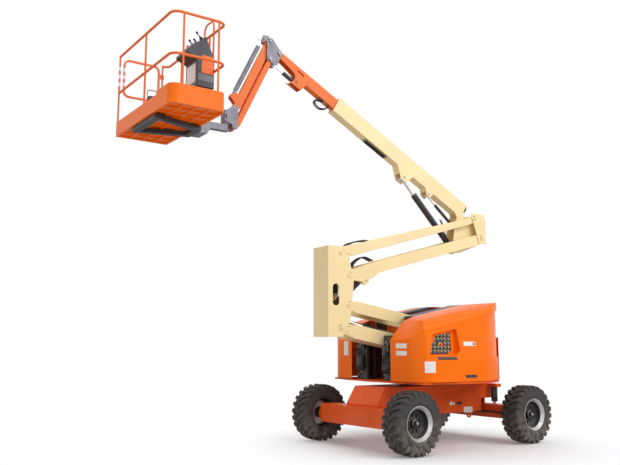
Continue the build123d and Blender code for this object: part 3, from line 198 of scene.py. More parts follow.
def piece(name, parts, material, body, bevel=0, sharp=35):
    # one mesh from the parts, shaded smooth up to the sharp angle, riding on the body; bevel in millimetres
    parts = [parts] if isinstance(parts, tuple) else parts
    points, faces = merged(parts)
    mesh = bpy.data.meshes.new(name)
    mesh.from_pydata(points.tolist(), [], faces)
    work = bmesh.new()
    work.from_mesh(mesh)
    bmesh.ops.remove_doubles(work, verts=work.verts, dist=1e-6)
    bmesh.ops.recalc_face_normals(work, faces=work.faces)
    work.to_mesh(mesh)
    work.free()
    mesh.polygons.foreach_set("use_smooth", np.ones(len(mesh.polygons), bool))
    mesh.set_sharp_from_angle(angle=math.radians(sharp))
    mesh.materials.append(material)
    obj = bpy.data.objects.new(name, mesh)
    bpy.context.scene.collection.objects.link(obj)
    if bevel:
        soften = obj.modifiers.new("softEdges", "BEVEL")
        soften.width, soften.segments, soften.limit_method = bevel / 1000, 2, "ANGLE"
        soften.angle_limit = math.radians(30)
    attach(obj, body)
    return obj


surfaces = {}


def surfaceOf(node):
    if node not in surfaces:
        mesh = nodes[node].data
        points = np.zeros(len(mesh.vertices) * 3)
        mesh.vertices.foreach_get("co", points)
        polygons = [tuple(p.vertices) for p in mesh.polygons]
        surfaces[node] = BVHTree.FromPolygons(points.reshape(-1, 3).tolist(), polygons)
    return surfaces[node]


def touch(node, origin, direction):
    # where a ray meets the node's surface, with the normal there turned against the ray
    hit, normal = surfaceOf(node).ray_cast(Vector(origin), Vector(direction))[:2]
    normal = np.array(normal)
    return np.array(hit), -normal if np.dot(normal, direction) > 0 else normal


def link(tree, a, b):
    tree.links.new(a, b)


# Materials: a colour that clouds slightly over the piece, fine grain in gloss and relief, dust low down
surfaceLook = {"clouds": (0.35, 0.62), "flecksFrom": 0.66, "flecksTo": 0.72, "dust": (0.36, 0.30, 0.24, 1),
               "grain": (0.3, 0.7), "glossSwing": 0.07, "glossLeast": 0.03, "relief": 0.002,
               "coatRough": 0.08}


def ranged(add, inputName, low, high):
    node = add("ShaderNodeMapRange")
    node.inputs[inputName + " Min"].default_value, node.inputs[inputName + " Max"].default_value = low, high
    return node


def finish(name, colour, deeper=0.88, rough=0.4, metal=0.0, coat=0.0, cloud=3.0, grain=90.0, relief=0.06,
           dust=0.0, dustTop=0.8, flecks=0.0, fleckColour=(0.12, 0.10, 0.09), shine=0.5):
    material = bpy.data.materials.new(name)
    material.use_nodes = True
    tree = material.node_tree
    add = tree.nodes.new
    shader = tree.nodes["Principled BSDF"]
    place = add("ShaderNodeTexCoord")
    clouds = add("ShaderNodeTexNoise")
    clouds.inputs["Scale"].default_value = cloud
    clouds.inputs["Detail"].default_value = 5
    link(tree, place.outputs["Object"], clouds.inputs["Vector"])
    blend = add("ShaderNodeMix")
    blend.data_type = "RGBA"
    blend.inputs[6].default_value = (*[c * deeper for c in colour], 1)
    blend.inputs[7].default_value = (*colour, 1)
    spread = ranged(add, "From", *surfaceLook["clouds"])
    link(tree, clouds.outputs["Fac"], spread.inputs["Value"])
    link(tree, spread.outputs["Result"], blend.inputs[0])
    colourOut = blend.outputs[2]
    fine = add("ShaderNodeTexNoise")
    fine.inputs["Scale"].default_value = grain
    fine.inputs["Detail"].default_value = 6
    link(tree, place.outputs["Object"], fine.inputs["Vector"])
    if flecks:
        pick = ranged(add, "From", surfaceLook["flecksFrom"] - 0.06 * flecks, surfaceLook["flecksTo"])
        link(tree, fine.outputs["Fac"], pick.inputs["Value"])
        worn = add("ShaderNodeMix")
        worn.data_type = "RGBA"
        worn.inputs[7].default_value = (*fleckColour, 1)
        link(tree, pick.outputs["Result"], worn.inputs[0])
        link(tree, colourOut, worn.inputs[6])
        colourOut = worn.outputs[2]
    if dust:
        apart = add("ShaderNodeSeparateXYZ")
        link(tree, place.outputs["Object"], apart.inputs["Vector"])
        low = ranged(add, "From", dustTop, 0.0)
        low.inputs["To Max"].default_value = dust
        link(tree, apart.outputs["Z"], low.inputs["Value"])
        amount = add("ShaderNodeMath")
        amount.operation = "MULTIPLY"
        link(tree, low.outputs["Result"], amount.inputs[0])
        link(tree, spread.outputs["Result"], amount.inputs[1])
        dusty = add("ShaderNodeMix")
        dusty.data_type = "RGBA"
        dusty.inputs[7].default_value = surfaceLook["dust"]
        link(tree, amount.outputs[0], dusty.inputs[0])
        link(tree, colourOut, dusty.inputs[6])
        colourOut = dusty.outputs[2]
    link(tree, colourOut, shader.inputs["Base Color"])
    gloss = ranged(add, "From", *surfaceLook["grain"])
    swing = surfaceLook["glossSwing"]
    gloss.inputs["To Min"].default_value = max(rough - swing, surfaceLook["glossLeast"])
    gloss.inputs["To Max"].default_value = rough + swing
    link(tree, fine.outputs["Fac"], gloss.inputs["Value"])
    link(tree, gloss.outputs["Result"], shader.inputs["Roughness"])
    bump = add("ShaderNodeBump")
    bump.inputs["Strength"].default_value = relief
    bump.inputs["Distance"].default_value = surfaceLook["relief"]
    link(tree, fine.outputs["Fac"], bump.inputs["Height"])
    link(tree, bump.outputs["Normal"], shader.inputs["Normal"])
    shader.inputs["Metallic"].default_value = metal
    shader.inputs["Coat Weight"].default_value = coat
    shader.inputs["Coat Roughness"].default_value = surfaceLook["coatRough"]
    shader.inputs["Specular IOR Level"].default_value = shine
    return material


paints = {
    "cream": finish("creamPaint", (0.95, 0.76, 0.41), 0.95, 0.42, coat=0.12, cloud=1.6, relief=0.05,
                    flecks=0.15, fleckColour=(0.75, 0.56, 0.30), shine=0.3),
    "chassis_orange": finish("chassisPaint", (0.86, 0.105, 0.006), 0.86, 0.45, coat=0.1, cloud=2.2, dust=0.25,
                             dustTop=0.75, flecks=0.2, fleckColour=(0.45, 0.07, 0.01), shine=0.2),
    "hood_orange": finish("hoodMoulding", (1.0, 0.175, 0.001), 0.96, 0.32, coat=0.12, cloud=1.2, grain=240,
                          relief=0.02, shine=0.1),
    "boom_orange": finish("boomPaint", (0.90, 0.185, 0.035), 0.92, 0.42, coat=0.08, cloud=3.0, relief=0.04,
                          flecks=0.1, fleckColour=(0.7, 0.16, 0.05), shine=0.2),
    "iron": finish("paintedCasting", (0.80, 0.11, 0.012), 0.85, 0.5, coat=0.1, cloud=5, grain=140,
                   relief=0.35),
    "dark_steel": finish("darkFrame", (0.055, 0.052, 0.055), 0.7, 0.5, cloud=5, relief=0.10, flecks=0.3,
                         fleckColour=(0.16, 0.14, 0.13)),
    "black_steel": finish("blackPaint", (0.022, 0.020, 0.022), 0.65, 0.36, coat=0.2, cloud=8, relief=0.08,
                          flecks=0.3, fleckColour=(0.11, 0.10, 0.10)),
    "lilac_grey": finish("platedGrey", (0.21, 0.205, 0.245), 0.72, 0.42, metal=0.25, cloud=9, grain=70,
                         relief=0.08, flecks=0.4, fleckColour=(0.14, 0.13, 0.16)),
    "rod_chrome": finish("hardChrome", (0.82, 0.82, 0.84), 0.93, 0.13, metal=1.0, cloud=20, grain=300,
                         relief=0.01),
    "rim": finish("rimSilver", (0.66, 0.65, 0.64), 0.80, 0.33, metal=0.55, cloud=7, grain=120, relief=0.05,
                  dust=0.3,
                  dustTop=0.5),
    "amber": finish("amberDome", (0.98, 0.33, 0.01), 0.9, 0.16, coat=0.4, cloud=20, relief=0.01),
    "panel": finish("mouldedPanel", (0.05, 0.052, 0.06), 0.8, 0.5, cloud=12, grain=400, relief=0.25),
    "tyre": finish("rubber", (0.045, 0.040, 0.037), 0.75, 0.75, cloud=14, grain=150, relief=0.3, dust=0.5,
                   dustTop=0.55),
}
whiteLabel = finish("blankLabel", (0.86, 0.84, 0.82), 0.93, 0.45, cloud=16, relief=0.02, flecks=0.1,
                    fleckColour=(0.6, 0.55, 0.5))
darkLabel = finish("darkStrip", (0.045, 0.03, 0.03), 0.6, 0.45, cloud=60, relief=0.02)
yellowDot = finish("yellowMark", (0.85, 0.60, 0.03), 0.85, 0.4, cloud=30)
redKnob = finish("redKnob", (0.75, 0.02, 0.02), 0.9, 0.25, coat=0.5, cloud=30)
hoseRubber = finish("hoseRubber", (0.018, 0.017, 0.019), 0.7, 0.48, cloud=30, grain=500, relief=0.3)
hoseWhite = finish("hoseSleeve", (0.66, 0.66, 0.68), 0.85, 0.5, cloud=25, grain=400, relief=0.2)
steel = finish("zincSteel", (0.50, 0.48, 0.45), 0.7, 0.38, metal=0.85, cloud=30, grain=200, relief=0.1)
brass = finish("brassFitting", (0.62, 0.42, 0.14), 0.75, 0.35, metal=0.9, cloud=40, grain=200, relief=0.1)
# the rim's well: a near-black finish that paints the shade inside the rim, with a little dust low down
wellPaintedShade = finish("wellShadow", (0.03, 0.028, 0.028), 0.7, 0.6, cloud=12, relief=0.1, dust=0.3, dustTop=0.5)
slateGrey = finish("slateBox", (0.16, 0.18, 0.22), 0.85, 0.45, cloud=6, relief=0.1)
print("materials made")

# Carried-over solids: each takes its record finish, and the folded and welded ones get soft edges
slotOf = {r["node"]: r["material_slot"] for r in frame["record"]["subparts"]}
softEdges = {
    "hood_left": 9, "hood_right": 9, "upright": 7, "mid_upper_arm": 5, "mid_lower_arm": 5, "lower_arm": 5,
    "lower_link": 5, "base_boom": 7, "fly_boom": 5, "jib_arm": 5, "jib_link": 2, "chassis_frame": 5,
    "drive_axle": 6,
    "steer_axle": 5, "turntable_frame": 4, "counterweight": 14, "boom_knuckle": 4, "level_bracket": 3,
    "jib_foot": 3,
    "platform_floor": 1.5, "platform_frame": 5, "platform_support": 5, "front_panel": 4, "timing_link": 5,
    "top_grille_left": 2, "top_grille_right": 2, "platform_console": 8, "ground_controls": 4,
}
for name, obj in nodes.items():
    obj.data.materials.clear()
    obj.data.materials.append(paints[slotOf[name]])
    if name in softEdges:
        weld = obj.modifiers.new("weld", "WELD")
        weld.merge_threshold = 0.00005
        soften = obj.modifiers.new("softEdges", "BEVEL")
        soften.width, soften.segments, soften.limit_method = softEdges[name] / 1000, 2, "ANGLE"
        soften.angle_limit = math.radians(32)
        even = obj.modifiers.new("evenShade", "WEIGHTED_NORMAL")
        even.keep_sharp = False
print("solids dressed")

# Wheels: a carcass turned from its profile with stepped lugs set round it, and a silver rim whose well is a
# near-black piece, painted shade
wheelShape = {
    "carcass": [(209, 118), (212, 133), (228, 143), (236, 143), (239, 146), (262, 149.5), (266, 151.5),
                (272, 151.5),
                (276, 150), (305, 152), (340, 150), (366, 143), (382, 132), (391, 116), (394, 60), (395, 0)],
    "lugs": 24,
    "lugAcross": [0, 44, 49, 92, 97, 137, 150, 153.2],
    "lugShift": [-31, -15, -4, 10, 21, 34, 35, 35],
    "lugTop": [418, 419.2, 419.4, 419.2, 418.5, 413, 394, 354],
    "lugFoot": [388, 388, 388, 386, 384, 372, 356, 336],
    "lugHalf": [21, 22, 23, 24, 25, 28, 30, 30],
    "rim": [(205, 84), (206, 118), (213, 124), (226, 138), (228, 149), (222, 150), (217, 143), (208, 132),
            (200, 124), (196, 112), (190, 108), (187, 60), (180, 34), (168, 26), (80, 26), (80, 12),
            (176, 12),
            (192, 30), (198, 60)],
    "hub": [(0, 108), (22, 108), (30, 103), (32, 78), (58, 74), (66, 68), (68, 34), (84, 30), (84, 26)],
    "well": [(86, 27), (167, 27.5), (178.5, 36), (185.8, 60), (188.5, 104), (187, 106), (183.5, 60),
             (176, 38),
             (166, 30), (86, 30)],
    "seat": (209, 118), "lugRadius": 410, "nuts": 9, "nutCircle": 108, "nutFoot": 28,
}
# A lug's section at each station across: foot, bevel, top, top, bevel, foot
lugSide = np.array([-1.16, -1.0, -0.86, 0.86, 1.0, 1.16])
lugRise = np.array([0.0, 0.86, 1.0, 1.0, 0.86, 0.0])


def tyreParts(hub, side):
    # half the carcass and its mirror image, closed across the seat
    profile = np.array(wheelShape["carcass"], float)
    seat = np.array([wheelShape["seat"]]) * [1, -1]
    loop = np.vstack([profile, profile[-2::-1] * [1, -1], seat]) / 1000
    parts = [revolved(loop, hub, (0, side, 0), 96, True)]
    across = np.array(wheelShape["lugAcross"], float)
    shift = np.array(wheelShape["lugShift"], float)
    top, foot = np.array(wheelShape["lugTop"], float), np.array(wheelShape["lugFoot"], float)
    half = np.array(wheelShape["lugHalf"], float)
    count = wheelShape["lugs"]
    # radius = foot + rise*(top - foot); reach = station across
    # angle = lug's turn + (shift + half*side)/lugRadius
    radius = foot[:, None] + lugRise * (top - foot)[:, None]
    bend = (shift[:, None] + lugSide * half[:, None]) / wheelShape["lugRadius"]
    for mirror in (1, -1):
        turn = (np.arange(count) + (0.5 if mirror < 0 else 0)) * 2 * math.pi / count
        angle = turn[:, None, None] + bend[None]
        reach = np.broadcast_to(across[None, :, None] * mirror * side, angle.shape)
        r = np.broadcast_to(radius[None], angle.shape)
        points = np.stack([r * np.cos(angle), reach, r * np.sin(angle)], -1) / 1000 + hub
        stations, ring = len(across), len(lugSide)
        one = [list(f) for f in gridFaces(stations, ring, False, True)]
        one += [list(range(ring)), [(stations - 1) * ring + k for k in range(ring)]]
        faces = [[i + k * stations * ring for i in f] for k in range(count) for f in one]
        parts.append((points.reshape(-1, 3), faces))
    return parts


for name in ("drive_left", "drive_right", "steer_left", "steer_right"):
    hub = jointAt("wheel_" + name)
    side = 1 if name.endswith("left") else -1
    body = "wheel_" + name
    axis = np.array([0, side, 0.0])
    tyre = piece("tyreDressed_" + name, tyreParts(hub, side), paints["tyre"], body, sharp=28)
    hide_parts("tyre_" + name)
    rim = piece("rimDressed_" + name, revolved(np.array(wheelShape["rim"]) / 1000, hub, axis, 72, True),
                paints["rim"],
                body, sharp=40)
    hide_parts("rim_" + name)
    parts = [revolved(np.array(wheelShape["hub"]) / 1000, hub, axis, 36)]
    for k in range(wheelShape["nuts"]):
        q = 2 * math.pi * k / wheelShape["nuts"]
        outward = np.array([math.cos(q), 0, math.sin(q)])
        spot = hub + (axis * wheelShape["nutFoot"] + outward * wheelShape["nutCircle"]) / 1000
        parts += boltHead(spot, axis, 13, 16)
    piece("hubNuts_" + name, parts, paints["black_steel"], body)
    # the well's near-black piece is painted shade inside the rim
    piece("rimWellShade_" + name, revolved(np.array(wheelShape["well"]) / 1000, hub, axis, 72, True), wellPaintedShade,
          body,
          sharp=40)
    cap = [revolved(np.array([(0.0, 112), (9, 112), (17, 109), (20, 104), (20, 100)]) / 1000, hub, axis, 24)]
    stem = hub + axis * 0.11 + np.array([0.178, 0, 0.06])
    cap.append(tubed([stem, stem + axis * 0.03 + mm(4, 0, 2)], 0.005, 8))
    piece("hubCap_" + name, cap, steel, body)
print("wheels done")


# Pins: a round cap with a keeper plate and its bolt on each side of the joint. Each row gives the node, the
# pin's place, its radius and the plate's turn; the ray that finds the plate's face runs beside the bore.
def pinCaps(name, body, material, rows):
    caps, bolts = [], []
    for node, spot, r, turn in rows:
        for side in (1, -1):
            away = leftwards * side
            start = spot + (ahead * r * 0.8) / 1000
            hit = touch(node, start + away * 0.6, -away)[0]
            hit = spot + away * np.dot(hit - start, away)
            cap = np.array([(0, 7), (r * 0.5, 7), (r - 4, 6), (r, 2), (r, -4), (0, -4)]) / 1000
            caps.append(revolved(cap, hit, away, 28))
            q = math.radians(turn)
            along = ahead * math.cos(q) + ups * math.sin(q)
            above = np.cross(away, along)
            keeper = rounded(r * 2.3, r * 0.62, r * 0.28, at=(r * 0.75, 0))
            caps.append(prismed(keeper, hit + away * 0.005, along, above, 5))
            bolts += boltHead(hit + along * r * 1.45 / 1000 + away * 0.011, away, 7, 6)
            bolts += boltHead(hit + away * 0.0085, away, 8, 4)
    piece(name, caps, material, body)
    piece(name + "_bolts", bolts, steel, body)


def spotAt(s, z):
    return turretAt(s, 0, z)


def offset(point, reach, angle):
    return point + reach * np.array([math.cos(math.radians(angle)), math.sin(math.radians(angle))])


uprightLow = offset(np.array(tower["foot"], float), tower["lowerArm"], tower["lowerTilt"])
uprightLink = uprightLow + tower["linkPin"]
uprightTop = uprightLow + tower["upright"]
uprightMid = uprightTop + tower["midPin"]
knuckleTop = offset(uprightTop, -tower["midArm"], tower["midTilt"])
knuckleLow = knuckleTop + tower["midPin"]
cream = paints["cream"]
pinCaps("uprightPins", "upright", cream, [
    ("upright", spotAt(*uprightTop), 33, 150), ("upright", spotAt(*uprightMid), 33, 115),
    ("upright", spotAt(*uprightLow), 33, 60), ("upright", spotAt(*uprightLink), 33, 100)])
pinCaps("knucklePins", "knuckle", cream, [
    ("boom_knuckle", spotAt(*knuckleTop), 33, 60), ("boom_knuckle", spotAt(*knuckleLow), 33, 60)])
pinCaps("timingPins", "mid_lower_arm", cream, [("mid_lower_arm", jointAt("timing_pin"), 22, 160)])
pinCaps("boomPins", "base_boom", cream, [
    ("base_boom", on(boomLine, 1228, 0, -47), 15, 40), ("base_boom", on(boomLine, 710, 0, 7), 11, 40)])
pinCaps("bracketPins", "level_bracket", paints["lilac_grey"], [
    ("level_bracket", jointAt("level_bracket_pin"), 22, 250),
    ("level_bracket", jointAt("jib_link_pin"), 18, 250),
    ("level_bracket", jointAt("jib_lift"), 22, 70)])
print("pins done")


# Hoses: short fixed runs, each carried by one part, smooth curves through the clamps that hold them
def hoses(name, body, rows, material=hoseRubber, clamps=True):
    tubes, rings = [], []
    for points, radius in rows:
        path = smooth(points)
        tubes.append(tubed(path, radius / 1000, 10))
        for end, step in ((0, 1), (-1, -2)):
            way = path[step] - path[end]
            way /= np.linalg.norm(way)
            wide, neck = radius * 1.5, radius * 1.25
            nut = [(0, -4), (wide, -4), (wide, 10), (neck, 12), (neck, 26), (radius * 0.6, 28)]
            rings.append(revolved(np.array(nut) / 1000, path[end], way, 6))
    piece(name, tubes, material, body)
    if clamps:
        piece(name + "_fittings", rings, steel, body)


def run(line, l, *points):
    # points given along and above the line, at one place across
    return [on(line, u, l, v) for u, v in points]


def uprightRun(l, *points):
    # points given ahead of and below the upright's top pin, at one place across
    return [turretAt(uprightTop[0] + s, l, uprightTop[1] - z) for s, z in points]


hoses("flyHoses", "fly_boom", [
    (run(boomLine, l, (2865, 128), (2900, 20 + d), (2990, -38 + d), (3085, -20 + d), (3095, 40), (3020, 82),
         (2960, 108)), 9) for l, d in ((30, 0), (6, 12), (-20, 4))])
hoses("boomHoses", "base_boom", [
    (run(boomLine, l, (2110, 55), (2060, 40), (1900, 42), (1700, 42), (1660, 57)), 9)
    for l in (-30, -8, 14, 36)])
hoses("boomTailHoses", "base_boom", [
    (run(boomLine, l, (60, 300), (-10, 312), (-52, 262), (-42, 190), (-8, 168)), 8)
    for l in (-36, -12, 14, 38)])
hoses("liftHoses", "lift_barrel", [
    ([jointAt("lift_barrel_pin") + (ahead * a + ups * b + leftwards * l) / 1000 for a, b in path], 7)
    for path, l in (([(70, 90), (150, 120), (215, 250), (240, 390), (275, 452)], 40),
                    ([(70, 90), (130, 130), (190, 250), (230, 380), (262, 440)], 56))])
hoses("uprightHoses", "upright", [
    (uprightRun(l, (-215 + k * 6, 60), (-90, 260), (20, 420), (10, 600)), 11)
    for k, l in enumerate((-95, -62, -30, 8, 44, 80, 112))])
hoses("uprightSleeves", "upright", [
    (uprightRun(l, (-150, 90), (-70, 220), (5, 420)), 10) for l in (-110, -46, 26, 96)], hoseWhite, False)
hoses("midHoses", "mid_upper_arm", [
    (run(midLine, l, (-160, 40), (-300, 92), (-520, 86), (-640, 40)), 11) for l in (70, 40, 8, -24, -56)])
hoses("midRearHoses", "mid_lower_arm", [
    (run(midLowLine, l, (-160, 60), (-250, 150), (-420, 190), (-560, 110)), 10) for l in (60, 30, 0, -30)])
print("hoses done")

# Engine bay: black back plates painting the shade of the bay's interior, valve blocks, hoses and small fittings
# seen between the hoods
bay = {
    "plateFace": 700, "plateMiddle": 1210, "plateHeight": 660, "blockFace": 838,
    # back plates, painted shade of the bay's dark interior: across, width
    "plates": [(-375, 350), (315, 230)],
    # valve blocks: across, height above ground, width, height, depth
    "blocks": [(330, 1120, 180, 130, 60), (290, 1330, 110, 180, 50), (400, 1400, 70, 120, 70),
               (-330, 1180, 170, 200, 60), (-300, 1420, 150, 90, 50), (350, 1010, 200, 60, 40)],
    # hoses: across and height of the low end, then of the high end
    "hoses": [(260, 1010, 300, 1470), (300, 1020, 350, 1450), (345, 1000, 400, 1480), (390, 1010, 430, 1380),
              (420, 1050, 290, 1250), (-260, 1030, -300, 1480), (-320, 1040, -380, 1460),
              (-380, 1000, -420, 1400)],
    "fittings": [(300, 1090), (330, 1120), (360, 1140), (280, 1300), (310, 1370), (400, 1440), (-300, 1200),
                 (-350, 1240)],
}
bayParts = []
# the black back plates are painted shade inside the bay, behind the valve blocks
for l, w in bay["plates"]:
    shadePlate = rounded(w, bay["plateHeight"], 8, at=(l, bay["plateMiddle"]))
    bayParts.append(prismed(shadePlate, turretAt(bay["plateFace"], 0, 0), leftwards, ups, 6))
face = bay["blockFace"]
for l, z, w, h, d in bay["blocks"]:
    bayParts.append(prismed(rounded(w, h, 10, at=(l, z)), turretAt(face, 0, 0), leftwards, ups, d))
    lid = rounded(w * 0.6, h * 0.5, 8, at=(l, z))
    bayParts.append(prismed(lid, turretAt(face + d - 1, 0, 0), leftwards, ups, 14))
piece("valveBlocksAndShadePlates", bayParts, paints["black_steel"], "turntable", bevel=2)
hoses("bayHoses", "turntable", [
    ([turretAt(870, l0, z0), turretAt(905, l0 + 18, z0 + 60),
      turretAt(900, (l0 + l1) / 2, (z0 + z1) / 2 + 20), turretAt(880, l1, z1 - 30), turretAt(860, l1, z1)], 8)
    for l0, z0, l1, z1 in bay["hoses"]])
dots = [revolved(np.array([(0, 9), (7, 9), (9, 6), (9, 0)]) / 1000, turretAt(900, l, z), ahead, 12)
        for l, z in bay["fittings"]]
piece("bayFittings", dots, brass, "turntable")
print("engine bay done")


# Labels: blank plates laid on the surface they are fixed to
def laidOn(name, node, origin, acrossWay, upWay, inward, width, height, material, body, steps=(7, 5),
           lift=1.0):
    # a grid over the plate's width and height, each point dropped onto the surface and lifted off it
    a = np.linspace(-width / 2, width / 2, steps[0])
    b = np.linspace(-height / 2, height / 2, steps[1])
    rows, normals = [], []
    for q in b:
        for p in a:
            hit, normal = touch(node, origin + (acrossWay * p + upWay * q) / 1000 - inward * 0.3, inward)
            rows.append(hit)
            normals.append(normal)
    rows, normals = np.array(rows), np.array(normals)
    n = steps[0] * steps[1]
    points = np.vstack([rows + normals * 0.0002, rows + normals * lift / 1000])
    top = gridFaces(steps[1], steps[0])
    # the rim's points in turn: the first row, the last column, then back along the last row and first column
    wide, high = steps
    rim = [k for k in range(wide)] + [(k + 1) * wide - 1 for k in range(1, high)]
    rim += [n - 1 - k for k in range(1, wide)] + [n - wide - k * wide for k in range(1, high - 1)]
    sides = [[rim[k], rim[(k + 1) % len(rim)], rim[(k + 1) % len(rim)] + n,
              rim[k] + n] for k in range(len(rim))]
    faces = [list(f)[::-1] for f in top] + [[i + n for i in f] for f in top] + sides
    return piece(name, (points, faces), material, body)


# Labels on the near hood: name, place ahead, height above ground, width, height, material, thickness
hoodLabels = [
    ("labelRear", 0, 1449, 214, 58, whiteLabel, 1.4), ("labelCheek", 716, 1135, 140, 150, whiteLabel, 1.4),
    ("stripWindow", 422, 1250, 340, 40, darkLabel, 1.4), ("stripLow", 9, 997, 205, 52, darkLabel, 1.4),
    ("labelRearMark", -82, 1447, 26, 40, darkLabel, 2.6),
]
for name, s, z, width, height, material, lift in hoodLabels:
    laidOn(name, "hood_left", turretAt(s, 1250, z), ahead, ups, -leftwards, width, height, material,
           "hood_left",
           lift=lift)
for k, (z, height) in enumerate(((1418, 66), (1318, 62))):
    spot = turretAt(1010, 800, z)
    inward = -(ahead * 0.80 + leftwards * 0.6)
    laidOn("labelCorner%d" % k, "hood_left", spot, np.cross(inward, ups), ups, inward, 190, height,
           whiteLabel, "hood_left",
           (9, 4))
laidOn("labelFarHood", "hood_right", turretAt(1100, -640, 1380), leftwards, ups, -ahead, 120, 210,
       whiteLabel, "hood_right")
forth = np.array([1.0, 0, 0])
arrow = [(-70, 0), (-20, 44), (-20, 18), (52, 18), (52, -18), (-20, -18), (-20, -44)]
for name, x, flip, material in (("arrowForward", -318, -1, whiteLabel), ("arrowBack", -462, 1, darkLabel)):
    outline = [(a * flip, b) for a, b in arrow]
    piece(name, prismed(outline, chassisAt(x, 330, 565), forth, ups, -1.5), material, "chassis")
piece("platePlain", prismed(rounded(190, 84, 6), chassisAt(-660, 330, 462), forth, ups, -1.5), whiteLabel,
      "chassis")

# Lock-out cylinders over the rear axle, black with a chrome tip
lockOut = {
    "along": -1165, "across": (420, -420), "tip": [(24.6, 528), (24.6, 570)],
    "barrel": [(24.5, 569), (49, 569), (49, 620), (49.6, 622), (49.6, 640), (49, 642), (49, 791), (30, 793),
               (0, 793)],
}
locks, tips = [], []
for across in lockOut["across"]:
    foot = chassisAt(lockOut["along"], across, 0)
    locks.append(revolved(np.array(lockOut["barrel"]) / 1000, foot, ups, 32))
    tips.append(revolved(np.array(lockOut["tip"]) / 1000, foot, ups, 24))
piece("lockOuts", locks, paints["black_steel"], "chassis")
piece("lockTips", tips, paints["rod_chrome"], "chassis")
print("labels done")

# Ground controls: the panel's face behind the hood's window
controlPanel = {"rows": 5, "columns": 6, "first": (-165, -115), "pitch": (62, 56), "stop": (-16, -16),
                "room": (38, 42)}
controlFace = turretAt(474, 999, 1452)
piece("controlFace", prismed(rounded(400, 300, 16), controlFace, ahead, ups, -3), paints["panel"],
      "turntable", bevel=1)

switches, marks = [], []
rng = np.random.default_rng(7)
for row in range(controlPanel["rows"]):
    for column in range(controlPanel["columns"]):
        a = controlPanel["first"][0] + column * controlPanel["pitch"][0] + rng.uniform(-4, 4)
        b = controlPanel["first"][1] + row * controlPanel["pitch"][1]
        fromStop = np.abs(np.array([a, b]) - controlPanel["stop"])
        if np.all(fromStop < controlPanel["room"]):
            continue
        spot = controlFace + (ahead * a + ups * b) / 1000 + leftwards * 0.003
        lever = np.array([(0, 26), (4, 26), (5, 22), (4, 9), (12, 8), (12, 0)]) / 1000
        switches.append(revolved(lever, spot, leftwards, 12))
        marks.append(prismed(rounded(34, 9, 3, at=(0, 20)), spot, ahead, ups, -1.2))
piece("controlSwitches", switches, steel, "turntable")
piece("controlMarks", marks, yellowDot, "turntable")
a, b = controlPanel["stop"]
stop = controlFace + (ahead * a + ups * b) / 1000 + leftwards * 0.003
stopRing = np.array([(0, 6), (30, 6), (32, 4), (32, 0)]) / 1000
stopKnob = np.array([(0, 42), (10, 41.5), (21, 38), (24, 33), (22, 27), (11, 24), (11, 0)]) / 1000
piece("stopRing", revolved(stopRing, stop, leftwards, 32), yellowDot, "turntable")
piece("stopButton", revolved(stopKnob, stop, leftwards, 32), redKnob, "turntable")
print("ground controls done")

# Basket: tape on the front post and the gate, the console with its joysticks and switches, the foot switch
basket = {
    # a post's or tube's place in the basket and its size, with the tape's low and high end
    "post": (356.7, -897.7, 13.6), "postTape": (4905, 5245), "gateTube": (294, -897.7, 27.2),
    "gateTape": (4925, 5240),
    "bands": 6, "slopeMiddle": (-87.5, 450, 5178.5), "slope": (0.75, 0.6618),
    # the console's faces: the side towards the camera, and the one towards the front with its box and plate
    "sidePanel": [(-330, 4799), (-161, 4799), (-161, 5034), (-322, 5034)], "sideFace": 620, "frontFace": -100,
    # joysticks: across, up the slope, length, foot
    "sticks": [(128, 112, 118, 26), (-118, 112, 96, 24), (6, 100, 70, 18)],
    "toggles": {"rows": 3, "columns": 6, "first": (-120, 34), "pitch": (48, -46)}, "stop": (122, -118),
    # the hoop over the foot switch: place ahead and height, at one place across
    "hoop": [(40, 4650), (40, 4740), (60, 4775), (160, 4775), (180, 4740), (180, 4650)], "hoopAcross": -300,
}
# The console's sloping face, its axes to the left and up the slope
slopeUp = ups * basket["slope"][1] - basketAhead * basket["slope"][0]
slopeOut = np.cross(basketLeft, slopeUp)
slopeMiddle = basketAt(*basket["slopeMiddle"])


def onSlope(a, b, out=0):
    return slopeMiddle + (basketLeft * a + slopeUp * b + slopeOut * out) / 1000


def roundBand(foot, size, step):
    profile = np.array([(size - 1.2, 0), (size, 0.5), (size, step - 0.5), (size - 1.2, step)]) / 1000
    return revolved(profile, foot, ups, 24, True)


def squareBand(foot, size, step):
    return prismed(rounded(size, size, 2, 3), foot, basketAhead, basketLeft, step)


# Tape in bands of red and white, the lowest red
for (u, w, size), (low, high), maker, body, end in (
        (basket["post"], basket["postTape"], roundBand, "platform", "Post"),
        (basket["gateTube"], basket["gateTape"], squareBand, "entry_gate", "Gate")):
    step = (high - low) / basket["bands"]
    taped = [maker(basketAt(u, w, low + k * step), size, step) for k in range(basket["bands"])]
    piece("tapeRed" + end, taped[::2], redKnob, body)
    piece("tapeWhite" + end, taped[1::2], whiteLabel, body)

